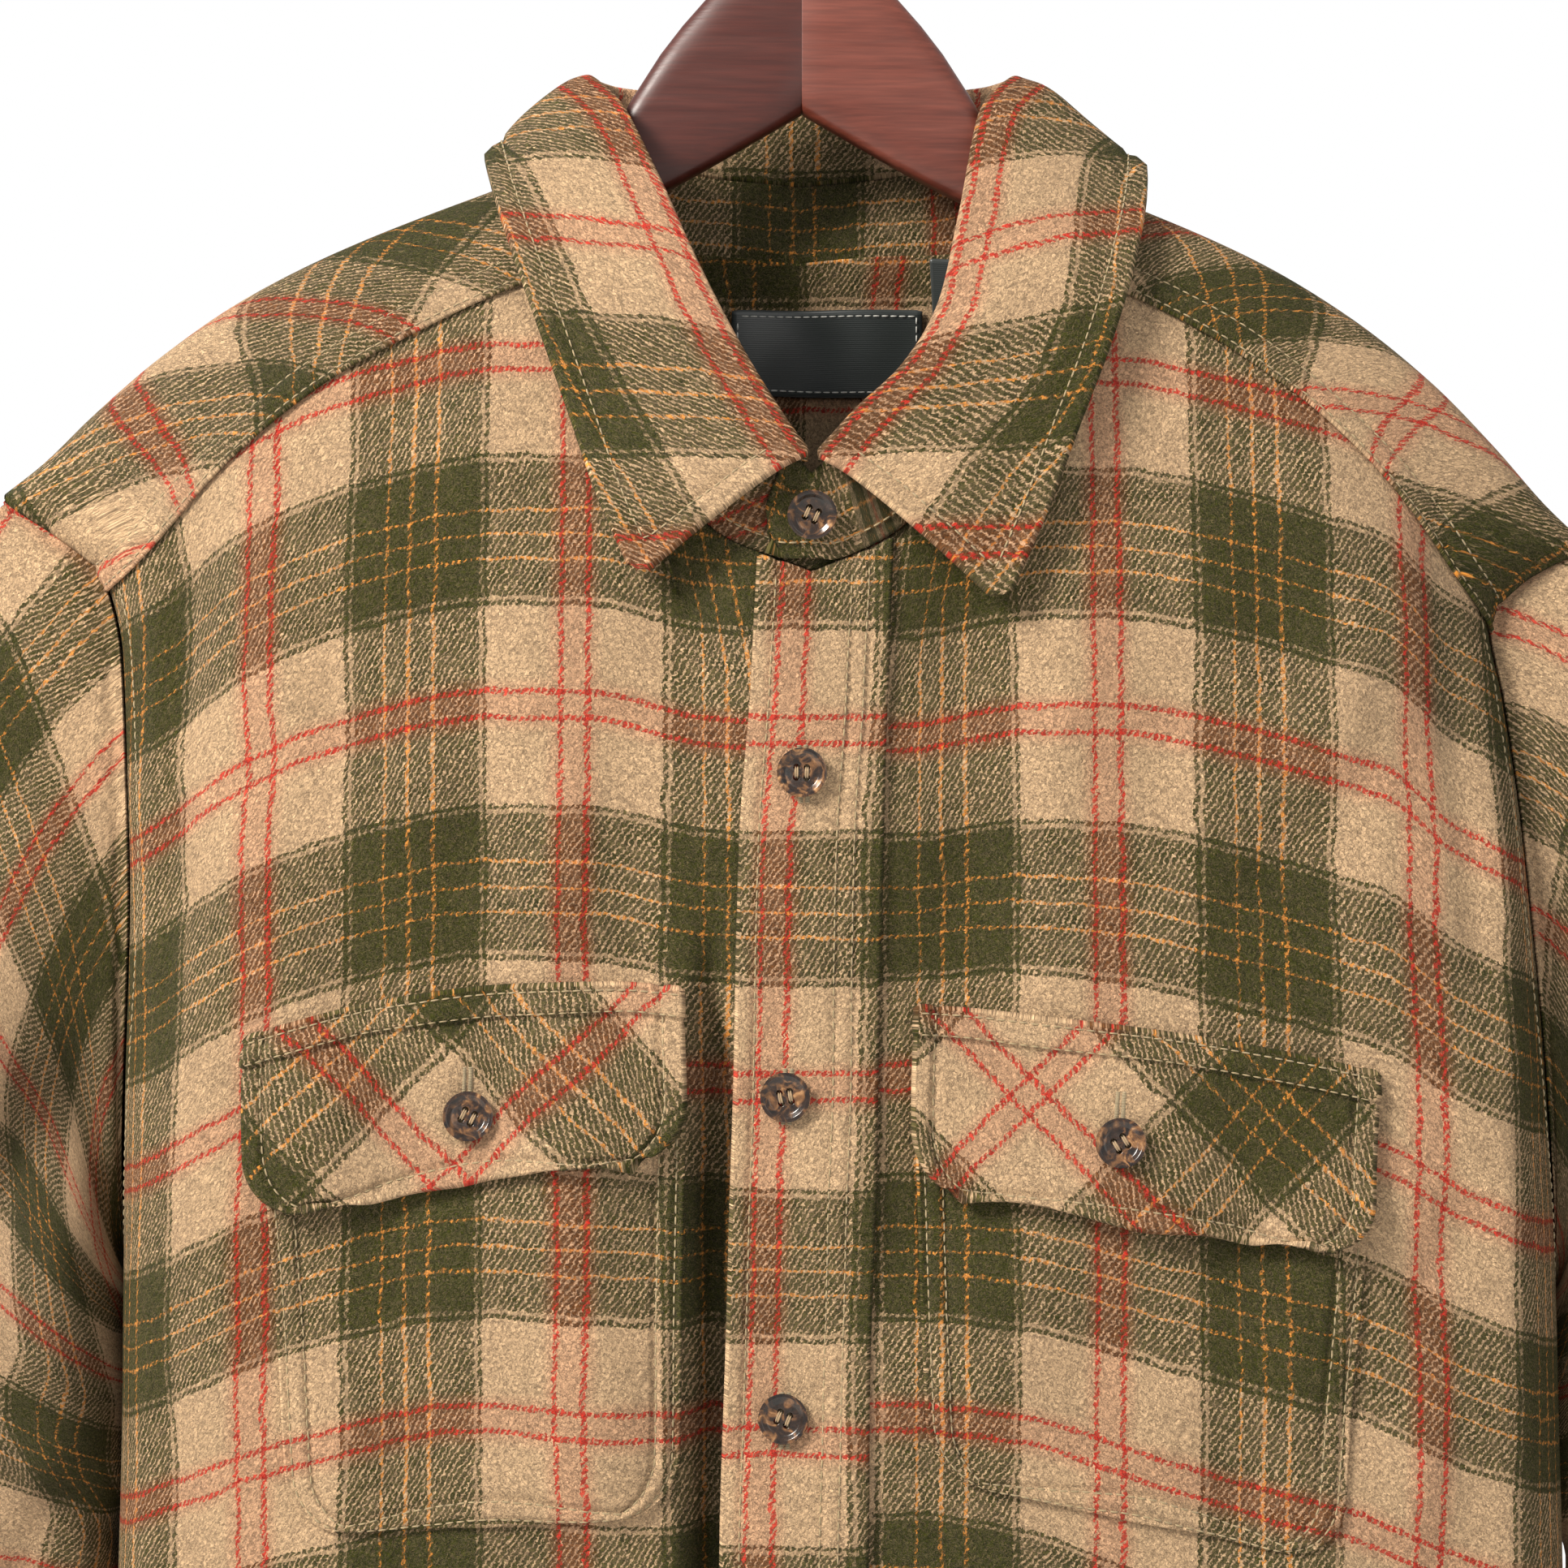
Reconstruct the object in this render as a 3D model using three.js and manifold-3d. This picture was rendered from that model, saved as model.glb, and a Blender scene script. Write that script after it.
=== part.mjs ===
// A long-sleeved flannel work shirt, buttoned at the neck, hanging on a two-piece wooden hanger.
// Millimetres, +Z up, the shirt's front faces -Y. The origin is where the hook rests on a rail.
// "right" and "left" are the wearer's: the wearer's right is at -X.
import * as THREE from "three";
import { mergeVertices } from "three/addons/utils/BufferGeometryUtils.js";
import Module from "manifold-3d";

// Driving dimensions.
const CLOTH = 1.6; // one layer of brushed flannel
const DOUBLED = 2.4; // two layers with interlining: collar, placket, cuffs, flaps
const SEAM = 0.3; // clearance between two pieces that are sewn together
const CORNER = 38; // how far the front turns back at each side, along X
const ARMHOLE_DEPTH = 240; // from the shoulder tip down to the armpit
const ARMHOLE_CUT = 0.33; // the share of the side's quarter turn that the armhole takes, half way down
const YOKE_LAP = 9; // the yoke covers this much of a front or of the back
const NECK_CLEAR = 2.8; // from the stand's middle to the yoke's edge, on the shoulders
const TUCK = 0.9; // how far a seam's covered edge sinks under the piece that covers it
const LABEL = 1; // a folded woven label
const BUTTON_RADIUS = 7.6;
const BUTTON_HEIGHT = 3;
const BUTTON_PITCH = 97.6; // between placket buttons
const BUTTON_HOLE = 1;
const BUTTON_HOLE_OUT = 2.2; // from the button's middle to each hole's
const HOOK_WIRE_RADIUS = 1.9;
const HOOK_RADIUS = 20; // of the hook's centre line
const HOOK_TIP_TURN = Math.PI * 1.12; // from +X, over the top
const HOOK_STEM_TURN = -Math.PI * 0.33;
const HANGER_JOINT_X = 1; // where the hanger's two halves meet
const ARM_GAP = 1.2; // between the arms' tops and the yoke's points
const ARM_TURN_OUT = [88, 112]; // from the middle: here the arms' tops come to follow the shoulder line
const ARM_END_DROP = 4; // how much lower their rounded ends lie
const PARTING_Z = -445; // the back's and the sleeves' solids are parted here, so that the armholes stay open

const RIGHT = -1;
const LEFT = 1;
const FRONT = 1;
const BACK = -1;

// The shoulder line: its height at each share of the half width.
const SHOULDER_LINE = [
  { across: 0, right: -121, left: -121 },
  { across: 0.12, right: -121.5, left: -121.5 },
  { across: 0.28, right: -128, left: -128.5 },
  { across: 0.4, right: -138.5, left: -139.5 },
  { across: 0.58, right: -156.5, left: -159 },
  { across: 0.7, right: -172, left: -177 },
  { across: 0.805, right: -190.5, left: -198 },
  { across: 0.887, right: -208.5, left: -219 },
  { across: 0.95, right: -224, left: -237 },
  { across: 1, right: -234, left: -249 },
];

// How far the cloth stands off the middle plane at each drop below the shoulder line.
const STAND_OFF = [
  { drop: 0, front: 0, back: 0 },
  { drop: 2, front: 9, back: 8 },
  { drop: 6, front: 15, back: 13.5 },
  { drop: 12, front: 20, back: 18 },
  { drop: 25, front: 27, back: 24 },
  { drop: 50, front: 35, back: 31 },
  { drop: 90, front: 44, back: 38 },
  { drop: 150, front: 52, back: 44 },
  { drop: 230, front: 58, back: 48 },
  { drop: 330, front: 61, back: 50 },
  { drop: 480, front: 60, back: 50 },
  { drop: 650, front: 57, back: 48 },
  { drop: 820, front: 54, back: 46 },
];

// Half the body's width at each drop below the shoulder line.
const HALF_WIDTH = [
  { drop: 0, right: 253, left: 250 },
  { drop: 11, right: 236, left: 230 },
  { drop: 24, right: 222, left: 220 },
  { drop: 52, right: 216, left: 225 },
  { drop: 94, right: 215, left: 231 },
  { drop: 150, right: 214, left: 236 },
  { drop: 240, right: 214, left: 240 },
  { drop: 400, right: 217, left: 243 },
  { drop: 700, right: 222, left: 247 },
];

// The shirt-tail hem: its height at each share of the half width.
const HEM = [
  { across: 0, front: -916, back: -932 },
  { across: 0.5, front: -914, back: -930 },
  { across: 0.8, front: -896, back: -906 },
  { across: 1, front: -866, back: -867 },
];

// The drop of the yoke's front and back seams at each share of the half width.
const YOKE_EDGE = [
  { across: 0, right: 31, left: 28, back: 132 },
  { across: 0.6, right: 32, left: 26, back: 102 },
  { across: 0.85, right: 34, left: 26, back: 76 },
  { across: 1, right: 30, left: 28, back: 56 },
];

// The largest folds of the body: soft troughs, or ridges where depth is below 0, that run from a
// top point to a bottom point and fade out at both ends.
const BODY_FOLDS = [
  { face: FRONT, xTop: -25, zTop: -345, xBottom: -29, zBottom: -980, width: 6.5, depth: 11, narrow: true },
  { face: FRONT, xTop: -191, zTop: -222, xBottom: -192, zBottom: -430, width: 9, depth: 7 },
  { face: FRONT, xTop: 197, zTop: -222, xBottom: 213, zBottom: -430, width: 9, depth: 7 },
  { face: FRONT, xTop: 112, zTop: -560, xBottom: 126, zBottom: -980, width: 24, depth: 13 },
  { face: FRONT, xTop: -118, zTop: -590, xBottom: -128, zBottom: -980, width: 22, depth: 11 },
  { face: FRONT, xTop: 178, zTop: -570, xBottom: 186, zBottom: -980, width: 18, depth: -6 },
  { face: FRONT, xTop: -70, zTop: -600, xBottom: -74, zBottom: -980, width: 20, depth: -5 },
  { face: BACK, xTop: -132, zTop: -270, xBottom: -140, zBottom: -990, width: 24, depth: 13 },
  { face: BACK, xTop: 122, zTop: -290, xBottom: 136, zBottom: -990, width: 26, depth: 12 },
  { face: BACK, xTop: 6, zTop: -420, xBottom: -12, zBottom: -990, width: 22, depth: 9 },
  { face: BACK, xTop: -66, zTop: -360, xBottom: -70, zBottom: -990, width: 22, depth: -5 },
  { face: BACK, xTop: 68, zTop: -340, xBottom: 70, zBottom: -990, width: 24, depth: -5 },
];
const FOLD_FADE = 70;

// The neck seam of each side, from the centre front (0) to the centre back (1). A drop below 0 is
// behind the shoulder line.
const NECKLINE = [
  { at: 0, rightX: 3.6, leftX: 3.6, drop: 139.5 },
  { at: 0.12, rightX: -25, leftX: 29, drop: 127.5 },
  { at: 0.25, rightX: -45, leftX: 50, drop: 99 },
  { at: 0.37, rightX: -59, leftX: 65, drop: 70 },
  { at: 0.5, rightX: -68.5, leftX: 73, drop: 41 },
  { at: 0.62, rightX: -74, leftX: 78, drop: 15 },
  { at: 0.72, rightX: -75, leftX: 78.5, drop: 1 },
  { at: 0.82, rightX: -67, leftX: 70, drop: -12 },
  { at: 0.91, rightX: -38, leftX: 40, drop: -28 },
  { at: 1, rightX: 0, leftX: 0, drop: -33 },
];

// The collar from the centre front (0) to the centre back (1). Head: the stand's top edge. Roll:
// the fold of the collar. Edge: the fall's outer edge.
const COLLAR_RIGHT = [
  { at: 0, head: [3.6, -56, -231.5], roll: [1.8, -62.5, -225.4], edge: [-49.2, -58, -262.5] },
  { at: 0.12, head: [-9, -53, -218], roll: [-7, -59, -212], edge: [-60.5, -54, -237] },
  { at: 0.25, head: [-22, -46, -192], roll: [-20.5, -50, -189], edge: [-70, -48.5, -210] },
  { at: 0.37, head: [-34, -38, -170], roll: [-32, -41, -165], edge: [-79, -42, -185] },
  { at: 0.5, head: [-46, -28, -145], roll: [-44.5, -28, -136], edge: [-87, -34.5, -163] },
  { at: 0.62, head: [-57, -15, -121], roll: [-56.5, -13, -110.5], edge: [-95.5, -17, -138] },
  { at: 0.72, head: [-65, 4, -108], roll: [-67.4, 4, -98.5], edge: [-99.7, 4, -124] },
  { at: 0.82, head: [-59, 21, -115], roll: [-60, 24, -98], edge: [-91, 28, -134] },
  { at: 0.91, head: [-35, 31, -125], roll: [-34, 36, -98], edge: [-54, 47, -144] },
  { at: 1, head: [0, 34, -129], roll: [0, 41, -98.5], edge: [0, 55, -147] },
];
const COLLAR_LEFT = [
  { at: 0, head: [3.6, -56, -231.5], roll: [6.4, -62.5, -226], edge: [61.5, -58.5, -270.6] },
  { at: 0.12, head: [17, -54, -220.5], roll: [17, -58.5, -213], edge: [75, -56, -240] },
  { at: 0.25, head: [32, -49, -204.5], roll: [33, -52, -197], edge: [85, -51, -214] },
  { at: 0.37, head: [43.5, -41.5, -186], roll: [44, -44, -177], edge: [94.5, -44, -190] },
  { at: 0.5, head: [51, -30.5, -158], roll: [51, -32, -147], edge: [102, -36, -167] },
  { at: 0.62, head: [59.5, -15, -125], roll: [59, -13, -111], edge: [108.5, -17, -141] },
  { at: 0.72, head: [67, 4, -108], roll: [69.3, 4, -98.8], edge: [110.6, 4, -127.5] },
  { at: 0.82, head: [61, 21, -115], roll: [62, 24, -98], edge: [99, 28, -136] },
  { at: 0.91, head: [36, 31, -125], roll: [35, 36, -98], edge: [58, 47, -145] },
  { at: 1, head: [0, 34, -129], roll: [0, 41, -98.5], edge: [0, 55, -147] },
];
const FALL_BULGE = 3;
// The stand's left end laps over its right one: both run this far past the centre front.
const STAND_LAP = 0.07;
const LAP_START = 0.2;

// The placket's two edges, from the neck seam (0) to the hem (1).
const PLACKET_EDGES = [
  { below: 0, free: -12, sewn: 28 },
  { below: 0.06, free: -13.5, sewn: 26 },
  { below: 0.13, free: -17, sewn: 24.5 },
  { below: 0.26, free: -19.5, sewn: 22.5 },
  { below: 0.46, free: -23, sewn: 19.5 },
  { below: 1, free: -25, sewn: 17.5 },
];
const PLACKET_HEM_Z = -914;
const BUTTON_LINE = [
  { z: -240, x: 3.6 },
  { z: -322, x: 0.5 },
  { z: -416, x: -3.7 },
  { z: -515, x: -4.4 },
  { z: -900, x: -4.6 },
];
const PLACKET_BUTTONS = 6;
const FIRST_BUTTON_Z = -321.6;

// The pockets and their flaps: four corners as [x, z], seen from the front, and the round of the
// two bottom corners. The flaps' top edges are arched.
const POCKETS = [
  {
    name: "pocket_right",
    top: [[-163, -408], [-34.3, -396]],
    bottom: [[-153, -551], [-37, -546]],
    round: 18,
    arch: 0,
  },
  {
    name: "pocket_left",
    top: [[34.5, -408], [173.5, -424]],
    bottom: [[39, -534], [162, -560]],
    round: 18,
    arch: 0,
  },
];
const FLAPS = [
  {
    name: "flap_right",
    top: [[-166, -402], [-35.5, -387.5]],
    bottom: [[-165, -455], [-34.5, -436]],
    round: 17,
    arch: 7,
    lift: 2.2,
    button: { u: 0.5, v: 0.66 },
  },
  {
    name: "flap_left",
    top: [[35.5, -393], [174.5, -413]],
    bottom: [[33, -446], [171, -468]],
    round: 17,
    arch: 3,
    lift: 4.2,
    button: { u: 0.45, v: 0.6 },
  },
];

const FLAP_STEP = 0.15; // the share of a flap's height above the pocket's edge

// The labels inside the back neck, seen from the front.
const LABELS = [
  { name: "neck_label", top: [[-21.5, -169.5], [40.5, -169]], bottom: [[-22, -196], [41, -197]] },
  { name: "care_label", top: [[43.5, -153], [62, -154]], bottom: [[45, -173], [65, -175]] },
];

// The sleeves: how far the outer fold spreads from the inner one, the depth, and the heights.
const SLEEVE_STATIONS = [
  { at: 0, spread: 40, outerZ: -234, innerZ: -474, depth: 26, clearance: 0 },
  { at: 0.05, spread: 48, outerZ: -258, innerZ: -477, depth: 34, clearance: 3 },
  { at: 0.12, spread: 66, outerZ: -300, innerZ: -482, depth: 40, clearance: 4 },
  { at: 0.22, spread: 90, outerZ: -362, innerZ: -496, depth: 43, clearance: 4 },
  { at: 0.34, spread: 106, outerZ: -440, innerZ: -530, depth: 42, clearance: 4 },
  { at: 0.46, spread: 112, outerZ: -520, innerZ: -582, depth: 41, clearance: 5 },
  { at: 0.6, spread: 108, outerZ: -612, innerZ: -650, depth: 39, clearance: 7 },
  { at: 0.8, spread: 94, outerZ: -738, innerZ: -752, depth: 35, clearance: 11 },
  { at: 1, spread: 80, outerZ: -848, innerZ: -848, depth: 31, clearance: 15 },
];
const SLEEVE_DROP_LEFT = 12; // the wearer's left sleeve hangs this much lower
const CUFF_LENGTH = 64;
const CUFF_GAP = 0.5; // between the sleeve's end and the cuff
const CUFF_START = 1.2 * Math.PI; // where the cuff's inner end lies round the wrist
const CUFF_LAP = 0.45; // how far its outer end laps over that, as a turn
const CUFF_BUTTON = 0.95; // the button's place along the cuff
const CUFF_NARROWER = 2; // the cuff is gathered in from the sleeve by this much, all round
const CUFF_CLIMB = [0.72, 0.83]; // where along the cuff it climbs over its own inner end

// The sleeves' folds: troughs at a turn round the sleeve (0 outer, 90 front, 180 inner, 270 back).
const SLEEVE_FOLDS = [
  { side: RIGHT, turn: 128, turnEnd: 96, start: 0.03, end: 0.36, width: 15, depth: 13 },
  { side: RIGHT, turn: 66, turnEnd: 58, start: 0.06, end: 0.6, width: 16, depth: 8 },
  { side: RIGHT, turn: 110, turnEnd: 118, start: 0.5, end: 1, width: 17, depth: 8 },
  { side: RIGHT, turn: 250, turnEnd: 262, start: 0.05, end: 0.7, width: 18, depth: 10 },
  { side: RIGHT, turn: 300, turnEnd: 290, start: 0.3, end: 1, width: 18, depth: 7 },
  { side: LEFT, turn: 136, turnEnd: 112, start: 0.03, end: 0.4, width: 15, depth: 12 },
  { side: LEFT, turn: 72, turnEnd: 60, start: 0.1, end: 0.75, width: 17, depth: 8 },
  { side: LEFT, turn: 104, turnEnd: 112, start: 0.55, end: 1, width: 17, depth: 8 },
  { side: LEFT, turn: 246, turnEnd: 258, start: 0.05, end: 0.7, width: 18, depth: 10 },
  { side: LEFT, turn: 296, turnEnd: 286, start: 0.3, end: 1, width: 18, depth: 7 },
];
// The break at each elbow, where the sleeve buckles over itself.
const ELBOW = { at: 0.4, swell: 5, pinch: 6, length: 0.035 };
// The sleeves' rows lie closer together at the elbow's break.
const SLEEVE_ROWS = [
  0, 0.03, 0.07, 0.12, 0.18, 0.24, 0.3, 0.345, 0.375, 0.4, 0.425, 0.47, 0.55, 0.65, 0.76, 0.88, 1,
];
const SLEEVE_COLUMNS = 18;

// The hanger's arms: top and bottom edges and half thickness by distance from the middle. Past
// the neck the top follows the shoulder line instead.
const HANGER_ARM = [
  { out: 0, top: -60, bottom: -110.6, half: 7 },
  { out: 18, top: -63, bottom: -121, half: 7 },
  { out: 31, top: -75, bottom: -128.5, half: 7 },
  { out: 45, top: -92, bottom: -136, half: 7 },
  { out: 54, top: -106, bottom: -140.5, half: 7 },
  { out: 62, top: -120, bottom: -145, half: 7 },
  { out: 67, top: -129.5, bottom: -147.5, half: 7 },
  { out: 73, top: -137, bottom: -150, half: 7 },
  { out: 82, top: -138.5, bottom: -154, half: 7.5 },
  { out: 100, top: -143, bottom: -162, half: 8.5 },
  { out: 146, top: -160, bottom: -181, half: 10 },
  { out: 175, top: -178, bottom: -197, half: 11 },
  { out: 196, top: -195, bottom: -213, half: 10 },
  { out: 212, top: -210, bottom: -221, half: 6 },
];

// The places along the neck seam where the grids have a column, shared by all that meets there.
const NECK_POINT = 0.56; // where the yoke's front seam meets the neck seam
const FRONT_NECK_STEPS = [0, 0.08, 0.16, 0.24, 0.32, 0.4, 0.48, NECK_POINT];
const FRONT_NECK_LAP = 0.6; // the fronts run on to here under the yoke
const YOKE_NECK_STEPS = [NECK_POINT, 0.62, 0.68, 0.75, 0.83, 0.91, 1];
// The shares of a panel's half where its columns lie beside the neck, shared by yoke and fronts.
const SHOULDER_SHARES = [0.37, 0.46, 0.55, 0.634, 0.708, 0.778, 0.848, 0.922, 1];
// The fronts' other columns, as shares at the chest: close together at the placket's trough.
const RIGHT_FRONT_SHARES = [-0.031, 0.02, 0.05, 0.074, 0.099, 0.124, 0.15, 0.21, 0.29];
const LEFT_FRONT_SHARES = [0.043, 0.072, 0.104, 0.14, 0.177, 0.22, 0.266, 0.315];
const RIGHT_FRONT_EDGE = 8; // the right front runs this far past the middle, under the placket
const LEFT_FRONT_EDGE = 12;
const NECK_FAN = 0.52; // the share of the back's half that the columns of the neckline fan out to
const NECK_SHARE = 0.31; // the share of the front's half that the neckline takes at the yoke's seam
// The drops of the yoke's rows in a column that starts in front of, on and behind the shoulder line.
const YOKE_ROWS = [
  { before: 1, on: 0, behind: 0 },
  { before: 0.5, on: 0.012, behind: 0.03 },
  { before: 0.22, on: 0.03, behind: 0.07 },
  { before: 0.07, on: 0.055, behind: 0.12 },
  { before: 0, on: 0.085, behind: 0.18 },
  { before: -2, on: 0.125, behind: 0.25 },
  { before: -6, on: 0.18, behind: 0.34 },
  { before: -14, on: 0.27, behind: 0.45 },
  { before: -0.5, on: 0.45, behind: 0.6 },
  { before: -0.75, on: 0.7, behind: 0.8 },
  { before: -1, on: 1, behind: 1 },
];

const clamp = (v, low, high) => Math.min(high, Math.max(low, v));
const mix = (a, b, t) => a + (b - a) * t;
const smooth = (low, high, v) => {
  const t = clamp((v - low) / (high - low), 0, 1);
  return t * t * (3 - 2 * t);
};
const steps = (count) => Array.from({ length: count + 1 }, (_, i) => i / count);

// Column `key` of a table as a smooth function of column `by`, with no overshoot between rows.
function follow(rows, by, key) {
  const x = rows.map((row) => row[by]);
  const y = rows.map((row) => row[key]);
  const slope = x.slice(1).map((v, i) => (y[i + 1] - y[i]) / (v - x[i]));
  const bend = x.map((_, i) => {
    if (i === 0) return slope[0];
    if (i === x.length - 1) return slope[i - 1];
    const [a, b] = [slope[i - 1], slope[i]];
    return a * b <= 0 ? 0 : (2 * a * b) / (a + b);
  });
  return (v) => {
    if (v <= x[0]) return y[0];
    if (v >= x[x.length - 1]) return y[x.length - 1];
    const i = x.findIndex((_, k) => v < x[k + 1]);
    const w = x[i + 1] - x[i];
    const t = (v - x[i]) / w;
    const [t2, t3] = [t * t, t * t * t];
    const start = (2 * t3 - 3 * t2 + 1) * y[i] + (t3 - 2 * t2 + t) * w * bend[i];
    return start + (3 * t2 - 2 * t3) * y[i + 1] + (t3 - t2) * w * bend[i + 1];
  };
}

const perSide = (rows, by) => ({ [RIGHT]: follow(rows, by, "right"), [LEFT]: follow(rows, by, "left") });
const perFace = (rows, by) => ({ [FRONT]: follow(rows, by, "front"), [BACK]: follow(rows, by, "back") });
const shoulderZ = perSide(SHOULDER_LINE, "across");
const halfWidth = perSide(HALF_WIDTH, "drop");
const yokeFrontDrop = perSide(YOKE_EDGE, "across");
const yokeBackDrop = follow(YOKE_EDGE, "across", "back");
const standOff = perFace(STAND_OFF, "drop");
const hemZ = perFace(HEM, "across");
const neckX = { [RIGHT]: follow(NECKLINE, "at", "rightX"), [LEFT]: follow(NECKLINE, "at", "leftX") };
const neckDrop = follow(NECKLINE, "at", "drop");

// How deep the folds are at a place on the front or back. What lies flat bridges the narrow
// trough beside the placket.
function foldDepth(x, z, face, bridged = false) {
  let depth = 0;
  for (const fold of BODY_FOLDS) {
    if (fold.face !== face || (fold.narrow && bridged)) continue;
    const along = clamp((fold.zTop - z) / (fold.zTop - fold.zBottom), 0, 1);
    const fromLine = (x - mix(fold.xTop, fold.xBottom, along)) / fold.width;
    const fadeIn = smooth(fold.zTop, fold.zTop - FOLD_FADE, z);
    const fadeOut = smooth(fold.zBottom, fold.zBottom + FOLD_FADE, z);
    depth += fold.depth * fadeIn * fadeOut * Math.exp(-fromLine * fromLine);
  }
  return depth;
}

// The section of half the body at a drop: flat, then a quarter of an ellipse at the side. `end`
// is the share of that quarter where the cloth ends, at the side seam or at the armhole's edge.
function section(side, face, drop) {
  const width = halfWidth[side](drop);
  const depth = standOff[face](drop);
  const round = (Math.PI / 2) * Math.sqrt((CORNER * CORNER + depth * depth) / 2);
  const opening = drop < ARMHOLE_DEPTH ? ARMHOLE_CUT * Math.sin((Math.PI * drop) / ARMHOLE_DEPTH) : 0;
  return { width, depth, round, flat: width - CORNER, end: 0.995 - opening };
}

// The body's outer surface. `share` runs from the centre (0) to the side seam or armhole (1).
function bodyPoint(side, face, share, drop, bridged = false) {
  const { width, depth, round, flat, end } = section(side, face, drop);
  const along = share * (flat + round * end);
  const turn = ((Math.PI / 2) * Math.max(0, along - flat)) / round;
  const out = turn > 0 ? flat + CORNER * Math.sin(turn) : along;
  const x = side * out;
  const z = shoulderZ[side](Math.abs(out) / width) - drop;
  const off = depth * Math.cos(turn) - foldDepth(x, z, face, bridged);
  return new THREE.Vector3(x, -face * off, z);
}

// The share at x for a known drop.
function shareAt(side, face, x, drop) {
  const { flat, round, end } = section(side, face, drop);
  const past = clamp((side * x - flat) / CORNER, 0, 1);
  const along = past > 0 ? flat + (round * Math.asin(past)) / (Math.PI / 2) : side * x;
  return along / (flat + round * end);
}

// The share and drop of the place on the body that lies at x and z.
function placeAt(side, face, x, z) {
  let drop = 150;
  for (let i = 0; i < 12; i++) drop = Math.max(0, shoulderZ[side](Math.abs(x) / halfWidth[side](drop)) - z);
  return { share: shareAt(side, face, x, drop), drop };
}

function facePoint(face, x, z, bridged = false) {
  const side = x < 0 ? RIGHT : LEFT;
  const { share, drop } = placeAt(side, face, x, z);
  return bodyPoint(side, face, share, drop, bridged);
}

// The drop at which a share meets the hem.
function hemDrop(side, face, share) {
  let drop = 780;
  for (let i = 0; i < 4; i++) {
    const point = bodyPoint(side, face, share, drop);
    drop += point.z - hemZ[face](Math.min(1, Math.abs(share)));
  }
  return drop;
}

// The neck seam on the body, or a line `clear` outside it at the shoulders and a little below it
// at the back.
function neckPlace(side, at, clear = 0) {
  const drop = neckDrop(at) - (clear / 3) * smooth(0.72, 0.85, at);
  const face = drop < 0 ? BACK : FRONT;
  const x = neckX[side](at) + side * clear * smooth(0.5, 0.6, at) * smooth(0.98, 0.85, at);
  return { drop, face, share: shareAt(side, face, x, Math.abs(drop)) };
}

// A wall of cloth from a grid of points, rows[j][i], whose columns run to the right and whose rows
// run down as seen from outside. `out` and `inn` are how far its two faces lie from the points.
// A closed wall joins its last column to its first.
function wall(rows, out, inn, closed = false) {
  const [m, n] = [rows.length, rows[0].length];
  const cell = (j, i) => rows[clamp(j, 0, m - 1)][closed ? (i + n) % n : clamp(i, 0, n - 1)];
  const normal = (j, i) => {
    const down = cell(j + 1, i).clone().sub(cell(j - 1, i));
    const across = cell(j, i + 1).clone().sub(cell(j, i - 1));
    return down.cross(across).normalize();
  };
  const points = [];
  for (const off of [out, inn]) {
    for (let j = 0; j < m; j++) {
      for (let i = 0; i < n; i++) {
        const offset = typeof off === "function" ? off(j, i) : off;
        points.push(...cell(j, i).clone().addScaledVector(normal(j, i), offset));
      }
    }
  }
  const id = (layer, j, i) => layer * m * n + j * n + (i % n);
  const faces = [];
  const quad = (a, b, c, d) => faces.push(a, b, c, a, c, d);
  const columns = closed ? n : n - 1;
  for (let j = 0; j < m - 1; j++) {
    for (let i = 0; i < columns; i++) {
      quad(id(0, j, i), id(0, j + 1, i), id(0, j + 1, i + 1), id(0, j, i + 1));
      quad(id(1, j, i), id(1, j, i + 1), id(1, j + 1, i + 1), id(1, j + 1, i));
    }
    if (closed) continue;
    quad(id(0, j, 0), id(1, j, 0), id(1, j + 1, 0), id(0, j + 1, 0));
    quad(id(0, j, n - 1), id(0, j + 1, n - 1), id(1, j + 1, n - 1), id(1, j, n - 1));
  }
  for (let i = 0; i < columns; i++) {
    quad(id(0, 0, i), id(0, 0, i + 1), id(1, 0, i + 1), id(1, 0, i));
    quad(id(0, m - 1, i), id(1, m - 1, i), id(1, m - 1, i + 1), id(0, m - 1, i + 1));
  }
  const geometry = new THREE.BufferGeometry();
  geometry.setAttribute("position", new THREE.Float32BufferAttribute(points, 3));
  geometry.setIndex(faces);
  return geometry;
}

// A closed solid through rings of points, with a flat end on its first and last ring.
function loft(rings) {
  const n = rings[0].length;
  const ends = [rings[0], rings[rings.length - 1]].map((ring) =>
    ring.reduce((sum, p) => sum.add(p), new THREE.Vector3()).divideScalar(n),
  );
  const points = [...rings.flat(), ...ends].flatMap((p) => [...p]);
  const [first, last] = [rings.length * n, rings.length * n + 1];
  const faces = [];
  for (let i = 0; i < n; i++) {
    const next = (i + 1) % n;
    for (let j = 0; j < rings.length - 1; j++) {
      const [a, b] = [j * n, (j + 1) * n];
      faces.push(a + i, b + i, b + next, a + i, b + next, a + next);
    }
    const end = (rings.length - 1) * n;
    faces.push(first, i, next, last, end + next, end + i);
  }
  const geometry = new THREE.BufferGeometry();
  geometry.setAttribute("position", new THREE.Float32BufferAttribute(points, 3));
  geometry.setIndex(faces);
  return geometry;
}

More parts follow.
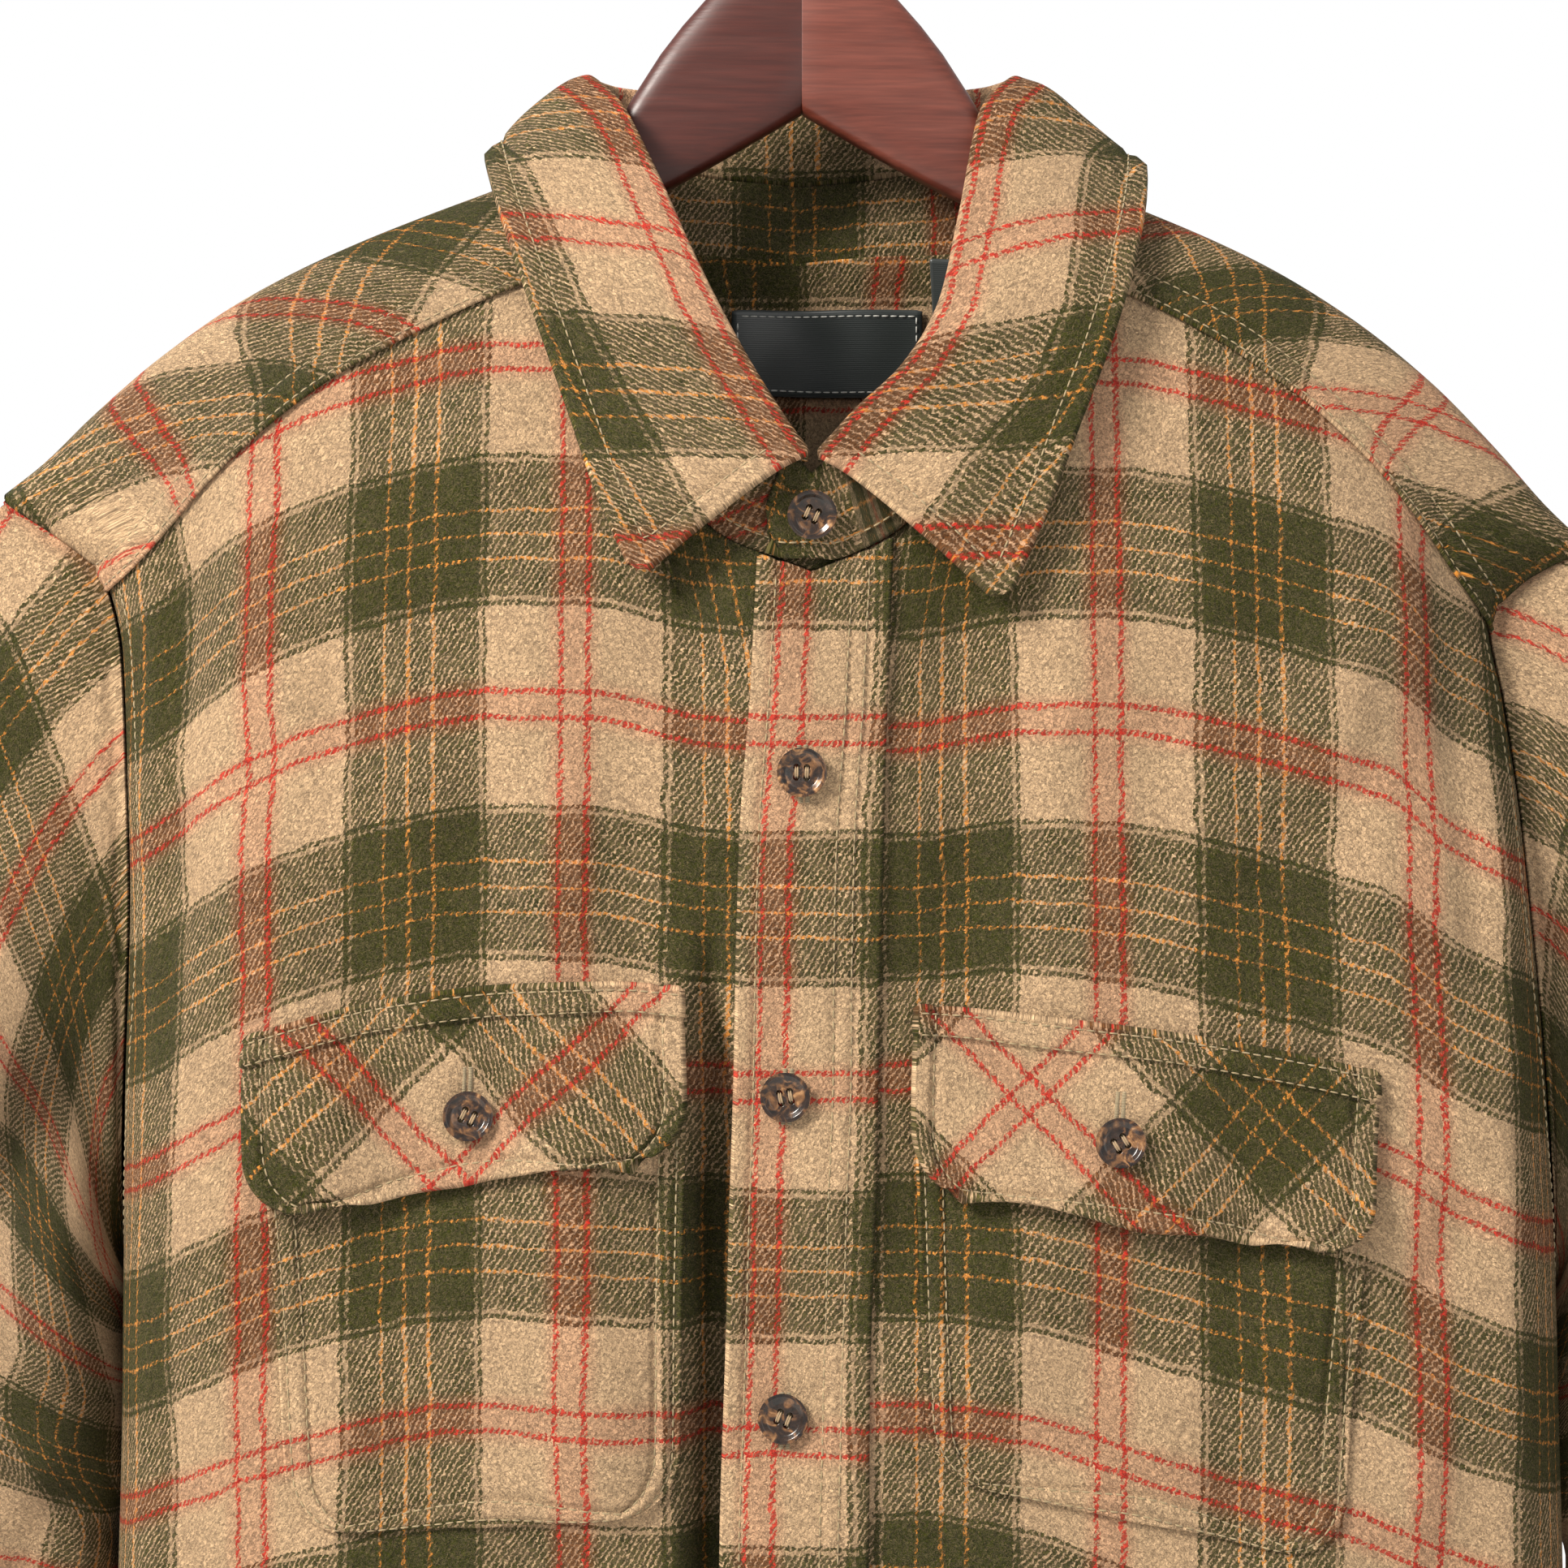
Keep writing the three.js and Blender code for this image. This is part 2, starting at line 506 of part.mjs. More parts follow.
const flannel = new THREE.MeshStandardMaterial({ color: 0x8f8660, roughness: 0.95 });
const hornPlastic = new THREE.MeshStandardMaterial({ color: 0x3a2a1e, roughness: 0.3 });
const labelSatin = new THREE.MeshStandardMaterial({ color: 0x15171a, roughness: 0.5 });
const stainedWood = new THREE.MeshStandardMaterial({ color: 0x5a2a1c, roughness: 0.4 });
const steel = new THREE.MeshStandardMaterial({ color: 0xb8b4ac, roughness: 0.25, metalness: 1 });
const group = new THREE.Group();

function add(name, geometry, material = flannel) {
  const mesh = new THREE.Mesh(geometry, material);
  mesh.name = name;
  group.add(mesh);
  return mesh;
}

// A front: the top of its columns follows the neck seam and then runs under the yoke's edge.
function frontPanel(side) {
  const rows = [0, 0.012, ...steps(19).slice(1).map((v) => mix(0.03, 1, v))];
  const chestShares = side === RIGHT ? RIGHT_FRONT_SHARES : LEFT_FRONT_SHARES;
  const neck = FRONT_NECK_STEPS.map((at) => neckPlace(side, at === NECK_POINT ? FRONT_NECK_LAP : at));
  const edgeDrop = neckDrop(0);
  const edgeAt = (x) => shareAt(side, FRONT, x, edgeDrop);
  if (side === RIGHT) neck.unshift({ drop: edgeDrop, share: edgeAt(RIGHT_FRONT_EDGE) });
  else neck[0] = { drop: neckDrop(0.04), share: edgeAt(LEFT_FRONT_EDGE) };
  const shoulder = SHOULDER_SHARES.map((share) => ({ share, drop: yokeFrontDrop[side](share) - YOKE_LAP }));
  const tops = [...neck, ...shoulder];
  const chest = [...chestShares, ...SHOULDER_SHARES];
  const underYoke = (j, i) => (j === 0 && i >= neck.length - 1 ? -TUCK : 0);
  const grid = rows.map((v) =>
    tops.map((top, i) => {
      const share = mix(top.share, chest[i], smooth(0, 0.14, v));
      return bodyPoint(side, FRONT, share, mix(top.drop, hemDrop(side, FRONT, chest[i]), v));
    }),
  );
  if (side === LEFT) return wall(grid, underYoke, (j, i) => underYoke(j, i) - CLOTH);
  const fromRight = (j, i) => underYoke(j, tops.length - 1 - i);
  return wall(grid.map((row) => row.reverse()), fromRight, (j, i) => fromRight(j, i) - CLOTH);
}

// The shares of the back seam where the yoke and the back have their columns, for one side.
const shoulderFan = (share) => mix(NECK_FAN, 1, (share - NECK_SHARE) / (1 - NECK_SHARE));
const BACK_SHARES = [
  ...[...YOKE_NECK_STEPS].reverse().map((at) => NECK_FAN * ((1 - at) / (1 - NECK_POINT))),
  ...SHOULDER_SHARES.map(shoulderFan),
];

// The back, from under the yoke to the hem.
function backPanel() {
  const rows = [0, 0.014, ...steps(14).slice(1).map((v) => mix(0.04, 1, v))];
  const columns = [
    ...[...BACK_SHARES].reverse().map((share) => ({ side: LEFT, share })),
    ...BACK_SHARES.slice(1).map((share) => ({ side: RIGHT, share })),
  ];
  const grid = rows.map((v) =>
    columns.map(({ side, share }) => {
      const drop = mix(yokeBackDrop(share) - YOKE_LAP, hemDrop(side, BACK, share), v);
      return bodyPoint(side, BACK, share, drop);
    }),
  );
  const underYoke = (j) => (j === 0 ? -TUCK : 0);
  return wall(grid, underYoke, (j) => underYoke(j) - CLOTH);
}

// The yoke lies over the fronts and the back. Each column runs from the front seam or the neck
// seam to the back seam.
function yokePanel() {
  const half = (side) => {
    const neck = YOKE_NECK_STEPS.map((at, k) => ({
      side, ...neckPlace(side, at, NECK_CLEAR), to: BACK_SHARES[YOKE_NECK_STEPS.length - 1 - k],
    }));
    const shoulder = SHOULDER_SHARES.map((share) => ({
      side, share, drop: yokeFrontDrop[side](share), to: shoulderFan(share),
    }));
    return [...shoulder.reverse(), ...neck];
  };
  const columns = [...half(RIGHT), ...half(LEFT).reverse().slice(1)];
  const rowDrop = (row, start, end) => {
    const before = row.before >= 0 ? start * row.before : row.before < -1 ? row.before : -end * row.before;
    const on = end * row.on;
    const behind = mix(start, end, row.behind);
    return start > 0 ? mix(on, before, clamp(start / 26, 0, 1)) : mix(on, behind, clamp(start / -20, 0, 1));
  };
  const grid = YOKE_ROWS.map((row) =>
    columns.map(({ side, share, drop, to }) => {
      const end = -yokeBackDrop(to);
      const here = rowDrop(row, drop, end);
      const across = mix(share, to, (drop - here) / (drop - end));
      return bodyPoint(side, here < 0 ? BACK : FRONT, across, Math.abs(here));
    }),
  );
  return wall(grid.reverse(), SEAM + CLOTH, SEAM);
}

// One side of the collar as functions of the place from centre front to centre back.
function collarLines(rows) {
  const line = (key) => {
    const flat = rows.map((row) => ({ at: row.at, x: row[key][0], y: row[key][1], z: row[key][2] }));
    const [x, y, z] = ["x", "y", "z"].map((axis) => follow(flat, "at", axis));
    return (at) => new THREE.Vector3(x(at), y(at), z(at));
  };
  return { head: line("head"), roll: line("roll"), edge: line("edge") };
}
const collar = { [RIGHT]: collarLines(COLLAR_RIGHT), [LEFT]: collarLines(COLLAR_LEFT) };

// A place round the collar: -1 at the centre front, 0 at the centre back, 1 at the centre front
// again. Past either end it runs on over the other side.
function collarPlace(place) {
  const side = place < 0 ? RIGHT : LEFT;
  const at = 1 - Math.abs(place);
  return at >= 0 ? { side, at } : { side: -side, at: -at };
}

// The middle of the stand's wall, from the neck seam (0) to its top edge (1).
function standPoint(place, up) {
  const { side, at } = collarPlace(place);
  const { share, drop, face } = neckPlace(side, at);
  const foot = bodyPoint(side, face, share, Math.abs(drop));
  const head = collar[side].head(at);
  const intoCloth = mix(-CLOTH / 2, SEAM + CLOTH / 2, smooth(0.5, 0.62, at));
  foot.y -= face * intoCloth;
  foot.addScaledVector(head.clone().sub(foot).normalize(), 3 * SEAM);
  const point = foot.lerp(head, up);
  const apart = (DOUBLED / 2 + SEAM) * smooth(LAP_START, STAND_LAP + 0.01, 1 - Math.abs(place));
  point.y -= Math.sign(place) * apart;
  return point;
}

function collarStand() {
  const halfSteps = [...FRONT_NECK_STEPS, ...YOKE_NECK_STEPS.slice(1)];
  const ahead = [-STAND_LAP, ...halfSteps];
  const places = [...ahead.map((at) => at - 1), ...[...ahead].reverse().slice(1).map((at) => 1 - at)];
  const grid = [1, 0.67, 0.33, 0].map((up) => places.map((place) => standPoint(place, up)));
  return wall(grid.map((row) => row.reverse()), DOUBLED / 2, -DOUBLED / 2);
}

// The fall starts just above the stand's top edge, rolls over and hangs outside it.
function collarFall() {
  const profile = [0, 0.2, 0.32, 0.4, 0.48, 0.6, 0.8, 1];
  const half = [...FRONT_NECK_STEPS, ...YOKE_NECK_STEPS.slice(1)];
  const places = [...half.map((at) => at - 1), ...[...half].reverse().slice(1).map((at) => 1 - at)];
  const curveAt = (place) => {
    const { side, at } = collarPlace(place);
    const [head, roll, edge] = ["head", "roll", "edge"].map((key) => collar[side][key](at));
    const rising = roll.clone().sub(head).normalize();
    const band = standPoint(place, 1).sub(standPoint(place, 0)).normalize();
    const lean = Math.hypot(rising.x, rising.y) + Math.hypot(band.x, band.y);
    const outward = new THREE.Vector3(edge.x - roll.x, edge.y - roll.y, 0);
    outward.y -= 25 * smooth(0.45, 0.1, at);
    outward.normalize();
    const atFront = smooth(0.06, 0, at);
    const start = head.clone();
    start.x = mix(head.x, roll.x, atFront);
    start.z += 3 * SEAM + 0.7 * DOUBLED * lean + 2.5 * atFront;
    const rise = start.clone().lerp(roll, 0.6);
    rise.z += 1.5;
    const over = roll.clone().lerp(edge, 0.12).addScaledVector(outward, 2);
    over.z += 0.5;
    const belly = roll.clone().lerp(edge, 0.5).addScaledVector(outward, FALL_BULGE);
    return new THREE.CatmullRomCurve3([start, rise, roll, over, belly, edge]);
  };
  const curves = places.map(curveAt);
  const grid = profile.map((w) => curves.map((curve) => curve.getPoint(w)));
  return wall(grid.map((row) => row.reverse()), DOUBLED / 2, -DOUBLED / 2);
}

// The neck seam's height at x, near the centre front.
function neckZ(x) {
  const side = x < NECKLINE[0].rightX ? RIGHT : LEFT;
  let [low, high] = [0, 0.6];
  for (let i = 0; i < 20; i++) {
    const at = (low + high) / 2;
    if (side * (neckX[side](at) - x) < 0) low = at;
    else high = at;
  }
  const { share, drop } = neckPlace(side, low);
  return bodyPoint(side, FRONT, share, drop).z;
}

// The buttonhole strip lies on the left front's edge and over the right front.
const placketFree = follow(PLACKET_EDGES, "below", "free");
const placketSewn = follow(PLACKET_EDGES, "below", "sewn");

function placketPoint(u, below) {
  const x = mix(placketFree(below), placketSewn(below), u);
  const top = neckZ(x) - 4 * SEAM;
  return facePoint(FRONT, x, mix(top, PLACKET_HEM_Z, below), true);
}

function placket() {
  const grid = steps(24).map((below) => steps(3).map((u) => placketPoint(u, below)));
  return wall(grid, SEAM + DOUBLED, SEAM);
}

// A point of a patch on a front: a quadrilateral with rounded bottom corners and an arched top.
function patchPoint(patch, u, v) {
  const [left, right] = [0, 1].map((k) =>
    new THREE.Vector2(...patch.top[k]).lerp(new THREE.Vector2(...patch.bottom[k]), v),
  );
  const height = patch.top[0][1] - patch.bottom[0][1];
  const intoRound = Math.max(0, v * height - (height - patch.round));
  const inset = (patch.round - Math.sqrt(patch.round ** 2 - intoRound ** 2)) / left.distanceTo(right);
  const place = left.lerp(right, mix(inset, 1 - inset, u));
  return facePoint(FRONT, place.x, place.y + patch.arch * 4 * u * (1 - u) * (1 - v), true);
}

// A flap is sewn down along its top, climbs over the pocket's edge and stands off below it.
const flapLift = (patch, v) =>
  SEAM + (CLOTH + SEAM) * smooth(0, FLAP_STEP, v) + patch.lift * smooth(FLAP_STEP, 1, v);

function pocket(patch) {
  const rows = [0, 0.22, 0.44, 0.66, 0.86, 0.93, 0.975, 1];
  const grid = rows.map((v) => steps(8).map((u) => patchPoint(patch, u, v)));
  return wall(grid, SEAM + CLOTH, SEAM);
}

function flap(patch) {
  const rows = [0, FLAP_STEP, 0.4, 0.66, 0.8, 0.92, 1];
  const grid = rows.map((v) => steps(8).map((u) => patchPoint(patch, u, v)));
  return wall(grid, (j) => flapLift(patch, rows[j]) + DOUBLED, (j) => flapLift(patch, rows[j]));
}

// A label sewn inside the back neck.
function label(patch) {
  const round = { ...patch, round: 0, arch: 0 };
  const grid = steps(2).map((v) =>
    steps(4).map((u) => {
      const place = patchPoint(round, u, v);
      return facePoint(BACK, place.x, place.z);
    }),
  );
  // Seen from outside, behind the back, the columns run the other way.
  return wall(grid.map((row) => row.reverse()), -2 * SEAM, -2 * SEAM - LABEL);
}

// The sleeves.
const sleeveKeys = ["spread", "outerZ", "innerZ", "depth", "clearance"];
const sleeveStation = Object.fromEntries(
  sleeveKeys.map((key) => [key, follow(SLEEVE_STATIONS, "at", key)]),
);

// A point of the armhole's edge: 0 at the shoulder tip, a quarter turn in front, a half at the armpit.
function armholePoint(side, turn) {
  const drop = (ARMHOLE_DEPTH * (1 - Math.cos(turn))) / 2;
  const point = bodyPoint(side, turn <= Math.PI ? FRONT : BACK, 1, drop);
  point.x += side * 3.5 * SEAM;
  return point;
}

function sleeveFolds(side, at, turn) {
  const degrees = (turn * 180) / Math.PI;
  let grow = 0;
  for (const fold of SLEEVE_FOLDS) {
    if (fold.side !== side) continue;
    const along = (at - fold.start) / (fold.end - fold.start);
    const fade = smooth(0, 0.2, along) * smooth(1, 0.75, along);
    const away = (degrees - mix(fold.turn, fold.turnEnd, clamp(along, 0, 1))) / fold.width;
    grow -= fold.depth * fade * Math.exp(-away * away);
  }
  const past = (at - ELBOW.at) / ELBOW.length;
  const front = Math.max(0, 0.5 + 0.5 * Math.sin(turn));
  const swell = ELBOW.swell * Math.exp(-((past + 1) ** 2));
  const pinch = ELBOW.pinch * Math.exp(-2 * (past - 0.6) ** 2);
  return grow + front * (swell - pinch);
}

// The sleeve's outer surface: `at` runs from the armhole (0) to the cuff (1) and on over the cuff.
function sleevePoint(side, at, turn, grow = sleeveFolds(side, at, turn)) {
  const low = side === LEFT ? SLEEVE_DROP_LEFT * smooth(0, 0.2, at) : 0;
  const innerZ = sleeveStation.innerZ(at) - low;
  const outerZ = sleeveStation.outerZ(at) - low;
  const inner = halfWidth[side](shoulderZ[side](1) - innerZ) + sleeveStation.clearance(at);
  const outer = inner + sleeveStation.spread(at);
  const half = new THREE.Vector3((side * (outer - inner)) / 2, 0, (outerZ - innerZ) / 2);
  const ring = new THREE.Vector3((side * (outer + inner)) / 2, 0, (outerZ + innerZ) / 2);
  ring.addScaledVector(half, Math.cos(turn) * (1 + grow / Math.max(40, half.length())));
  ring.y -= (sleeveStation.depth(at) + grow) * Math.sin(turn);
  return armholePoint(side, turn).lerp(ring, smooth(0, 0.14, at));
}

// The turns of a ring's points, which run to the right as seen from outside.
function ringTurns(side, count) {
  const turns = Array.from({ length: count }, (_, i) => (i / count) * 2 * Math.PI);
  return side === RIGHT ? turns : turns.map((turn) => (2 * Math.PI - turn) % (2 * Math.PI));
}

function sleeve(side) {
  const turns = ringTurns(side, SLEEVE_COLUMNS);
  const grid = SLEEVE_ROWS.map((at) => turns.map((turn) => sleevePoint(side, at, turn)));
  return wall(grid, 0, -CLOTH, true);
}

// The cuff is a band round the sleeve's end whose outer end laps over its inner one, at the back.
function cuffPoint(side, around, down) {
  const turn = CUFF_START + around * (2 * Math.PI + CUFF_LAP);
  const point = sleevePoint(side, 1, turn, -CUFF_NARROWER);
  point.z -= CUFF_GAP + down * CUFF_LENGTH;
  const [outer, inner] = [0, Math.PI].map((end) => sleevePoint(side, 1, end, -CUFF_NARROWER));
  const centre = outer.lerp(inner, 0.5);
  const outward = new THREE.Vector3(point.x - centre.x, point.y - centre.y, 0).normalize();
  return point.addScaledVector(outward, (DOUBLED + 2 * SEAM) * smooth(...CUFF_CLIMB, around));
}

function cuff(side) {
  const grid = steps(2).map((down) => steps(24).map((around) => cuffPoint(side, around, down)));
  return wall(side === LEFT ? grid.map((row) => row.reverse()) : grid, 0, -DOUBLED);
}

// The buttons.
const wasm = await Module();
wasm.setup();

function solid(geometry) {
  geometry.deleteAttribute("normal");
  geometry.deleteAttribute("uv");
  const merged = mergeVertices(geometry, 1e-3);
  const vertProperties = merged.getAttribute("position").array;
  const triVerts = new Uint32Array(merged.index.array);
  return new wasm.Manifold(new wasm.Mesh({ numProp: 3, vertProperties, triVerts }));
}

function geometryOf(made) {
  const mesh = made.getMesh();
  const geometry = new THREE.BufferGeometry();
  geometry.setAttribute("position", new THREE.BufferAttribute(mesh.vertProperties, 3));
  geometry.setIndex(new THREE.BufferAttribute(mesh.triVerts, 1));
  return geometry;
}

// A wall parted on a level line, as its upper and its lower stretch.
function parted(geometry) {
  const whole = solid(geometry);
  const upper = whole.trimByPlane([0, 0, 1], PARTING_Z + SEAM / 2);
  const lower = whole.trimByPlane([0, 0, -1], SEAM / 2 - PARTING_Z);
  return [upper, lower].map(geometryOf);
}

function buttonGeometry() {
  const [r, h] = [BUTTON_RADIUS, BUTTON_HEIGHT];
  const profile = [
    [0, 0], [r * 0.72, 0], [r, h * 0.45], [r * 0.94, h], [r * 0.74, h], [r * 0.6, h * 0.66], [0, h * 0.6],
  ].map(([x, y]) => new THREE.Vector2(x, y));
  const disc = new THREE.LatheGeometry(profile, 14);
  disc.rotateX(Math.PI / 2);
  let made = solid(disc);
  for (let k = 0; k < 4; k++) {
    const hole = new THREE.CylinderGeometry(BUTTON_HOLE, BUTTON_HOLE, 4 * h, 4);
    hole.rotateX(Math.PI / 2);
    const turn = ((k + 0.5) * Math.PI) / 2;
    hole.translate(BUTTON_HOLE_OUT * Math.cos(turn), BUTTON_HOLE_OUT * Math.sin(turn), 0);
    made = made.subtract(solid(hole));
  }
  return geometryOf(made);
}
const button = buttonGeometry();

// A button on a surface given as a function of a step to the right and a step down, as seen from
// outside. It lies `off` from that surface.
function addButton(name, surface, off) {
  const step = 0.5;
  const across = surface(step, 0).sub(surface(-step, 0));
  const down = surface(0, step).sub(surface(0, -step));
  const normal = down.cross(across).normalize();
  const mesh = add(name, button, hornPlastic);
  mesh.position.copy(surface(0, 0)).addScaledVector(normal, off + SEAM);
  mesh.quaternion.setFromUnitVectors(new THREE.Vector3(0, 0, 1), normal);
}

// Half of the hanger. Its section is a rounded upright bar.
function hangerArm(side) {
  const turns = Array.from({ length: 12 }, (_, k) => (k / 12) * 2 * Math.PI);
  const bulge = (v) => Math.sign(v) * Math.pow(Math.abs(v), 0.95);
  const [top, bottom, half] = ["top", "bottom", "half"].map((key) => follow(HANGER_ARM, "out", key));
  const outs = [0, 9, 18, 25, 31, 38, 45, 54, 62, 70, 78, 90, 105, 122, 140, 158, 172, 186, 198, 207, 212];
  const rings = outs.map((out) => {
    const across = (out + HANGER_JOINT_X + SEAM) / halfWidth[LEFT](0);
    const under = ARM_GAP + ARM_END_DROP * smooth(160, outs[outs.length - 1], out);
    const high = mix(top(out), shoulderZ[LEFT](across) - under, smooth(...ARM_TURN_OUT, out));
    const low = bottom(out);
    const x = HANGER_JOINT_X + side * (out + SEAM / 2);
    return turns.map((turn) => {
      const z = (high + low) / 2 + ((high - low) / 2) * bulge(Math.sin(turn));
      return new THREE.Vector3(x, half(out) * bulge(Math.cos(turn)), z);
    });
  });
  return loft(side === LEFT ? rings.map((ring) => ring.reverse()) : rings);
}

// The hook: a round bend over the rail and a stem down to the wood.
function hook() {
  const middleZ = HOOK_WIRE_RADIUS - HOOK_RADIUS;
  const bend = steps(16).map((t) => {
    const turn = mix(HOOK_TIP_TURN, HOOK_STEM_TURN, t);
    return new THREE.Vector3(HOOK_RADIUS * Math.cos(turn), 0, middleZ + HOOK_RADIUS * Math.sin(turn));
  });
  const stemPoints = [[1.5, -42], [0, -49], [0, HANGER_ARM[0].top + SEAM]];
  const stem = stemPoints.map(([x, z]) => new THREE.Vector3(x, 0, z));
  const path = new THREE.CatmullRomCurve3([...bend, ...stem], false, "centripetal");
  const shape = new THREE.Shape().absarc(0, 0, HOOK_WIRE_RADIUS, 0, 2 * Math.PI);
  const options = { steps: 24, curveSegments: 4, extrudePath: path, bevelEnabled: false };
  return new THREE.ExtrudeGeometry(shape, options);
}

for (const [side, name] of [[RIGHT, "right"], [LEFT, "left"]]) {
  add(`front_${name}`, frontPanel(side));
  const [head, arm] = parted(sleeve(side));
  add(`sleeve_${name}_head`, head);
  add(`sleeve_${name}_arm`, arm);
  add(`cuff_${name}`, cuff(side));
  add(`hanger_arm_${name}`, hangerArm(side), stainedWood);
}
const [backUpper, backLower] = parted(backPanel());
add("back_upper", backUpper);
add("back_lower", backLower);
add("yoke", yokePanel());
add("placket", placket());
add("collar_stand", collarStand());
add("collar_fall", collarFall());
add("hook", hook(), steel);
for (const patch of POCKETS) add(patch.name, pocket(patch));
for (const patch of FLAPS) add(patch.name, flap(patch));
for (const patch of LABELS) add(patch.name, label(patch), labelSatin);

addButton("button_stand", (right, down) => standPoint(1 - right * 0.004, 0.6 - down * 0.03), DOUBLED / 2);
const buttonX = follow([...BUTTON_LINE].reverse(), "z", "x");
for (let k = 0; k < PLACKET_BUTTONS; k++) {
  const z = FIRST_BUTTON_Z - k * BUTTON_PITCH;
  const at = (right, down) => facePoint(FRONT, buttonX(z) + right, z - down, true);
  addButton(`button_placket_${k + 1}`, at, SEAM + DOUBLED);
}
for (const patch of FLAPS) {
  const at = (right, down) => {
    const v = patch.button.v + down * 0.02;
    const point = patchPoint(patch, patch.button.u + right * 0.01, v);
    point.y -= flapLift(patch, v);
    return point;
  };
  addButton(patch.name.replace("flap", "button_flap"), at, DOUBLED);
}
for (const [side, name] of [[RIGHT, "right"], [LEFT, "left"]]) {
  const at = (right, down) => cuffPoint(side, CUFF_BUTTON - side * right * 0.004, 0.5 + down * 0.02);
  addButton(`button_cuff_${name}`, at, 0);
}

export default group;
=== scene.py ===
"""A plaid flannel work shirt on a two-piece wooden hanger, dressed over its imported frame."""
import math

import bmesh
import bpy
import numpy as np
from mathutils import Matrix, Vector


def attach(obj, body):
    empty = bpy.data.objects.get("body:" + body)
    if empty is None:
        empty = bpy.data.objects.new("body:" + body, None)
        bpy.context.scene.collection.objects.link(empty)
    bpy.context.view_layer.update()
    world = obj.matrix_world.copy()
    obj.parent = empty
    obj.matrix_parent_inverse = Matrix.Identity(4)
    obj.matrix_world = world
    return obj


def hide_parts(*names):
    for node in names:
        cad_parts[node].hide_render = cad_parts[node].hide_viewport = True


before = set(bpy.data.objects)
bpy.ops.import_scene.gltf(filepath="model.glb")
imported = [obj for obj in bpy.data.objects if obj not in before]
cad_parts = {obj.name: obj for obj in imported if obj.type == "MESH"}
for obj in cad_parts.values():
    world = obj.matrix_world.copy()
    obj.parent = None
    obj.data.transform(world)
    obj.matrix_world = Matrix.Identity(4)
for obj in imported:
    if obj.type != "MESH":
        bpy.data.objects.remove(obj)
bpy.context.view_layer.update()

bl_info = {
    "name": "Flannel shirt on a hanger",
    "version": (1, 0, 0),
    "blender": (4, 5, 0),
    "location": "View3D > Sidebar > Shirt",
    "description": "Builds a plaid flannel work shirt with its buttons, stitching and wooden hanger",
    "category": "Object",
}

MM = 0.001
RIGHT, LEFT = -1, 1  # the wearer's sides: the wearer's right is at -X
FRONT, BACK = 1, -1
SEED = 11

# Cloth sizes in millimetres, as in the frame.
CLOTH = 1.6
PLACKET_LINES = (5.5, 30.5, 36.5)  # how far stitch lines lie from an edge
POCKET_LINES = (2, 8)
FLAP_TOP_LINES = (1.6, 9)
FLAP_LINE = 6
YOKE_FRONT_LINES = (1.6, 9.5)
YOKE_BACK_LINES = (1.8, 8)
COLLAR_LINE = 7
CUFF_LINE = 5.5
HEM_LINE = 8.5
DOUBLED = 2.4
SEAM = 0.3
CORNER = 38
ARMHOLE_DEPTH = 240
ARMHOLE_CUT = 0.33
YOKE_LAP = 9
NECK_CLEAR = 2.8
TUCK = 0.9
LABEL = 1
BUTTON_PITCH = 97.6
HOOK_WIRE_RADIUS = 1.9
HOOK_RADIUS = 20
HANGER_JOINT_X = 1
ARM_GAP = 1.2
# The plaid: how often it repeats, how wide its olive bands are, and its twill lines.
WARP_REPEAT = 98
WEFT_REPEAT = 107.5
WARP_OLIVE = 44
WEFT_OLIVE = 47
TWILL_PITCH = 1.65
TWILL_SLOPE = (0.84, 0.54)


def table(columns, *rows):
    """A table of numbers as one array per named column."""
    return {name: np.array([row[k] for row in rows], float) for k, name in enumerate(columns.split())}


SHOULDER_LINE = table(
    "across right left",
    (0, -121, -121), (0.12, -121.5, -121.5), (0.28, -128, -128.5), (0.4, -138.5, -139.5),
    (0.58, -156.5, -159),
    (0.7, -172, -177), (0.805, -190.5, -198), (0.887, -208.5, -219), (0.95, -224, -237), (1, -234, -249),
)
STAND_OFF = table(
    "drop front back",
    (0, 0, 0), (2, 9, 8), (6, 15, 13.5), (12, 20, 18), (25, 27, 24), (50, 35, 31), (90, 44, 38),
    (150, 52, 44),
    (230, 58, 48), (330, 61, 50), (480, 60, 50), (650, 57, 48), (820, 54, 46),
)
HALF_WIDTH = table(
    "drop right left",
    (0, 253, 250), (11, 236, 230), (24, 222, 220), (52, 216, 225), (94, 215, 231), (150, 214, 236),
    (240, 214, 240), (400, 217, 243), (700, 222, 247),
)
HEM = table("across front back", (0, -916, -932), (0.5, -914, -930), (0.8, -896, -906), (1, -866, -867))
YOKE_EDGE = table(
    "across right left back", (0, 31, 28, 132), (0.6, 32, 26, 102), (0.85, 34, 26, 76), (1, 30, 28, 56),
)
NECKLINE = table(
    "at rightX leftX drop",
    (0, 3.6, 3.6, 139.5), (0.12, -25, 29, 127.5), (0.25, -45, 50, 99), (0.37, -59, 65, 70),
    (0.5, -68.5, 73, 41),
    (0.62, -74, 78, 15), (0.72, -75, 78.5, 1), (0.82, -67, 70, -12), (0.91, -38, 40, -28), (1, 0, 0, -33),
)
FOLD_COLUMNS = "face xTop zTop xBottom zBottom width depth narrow"
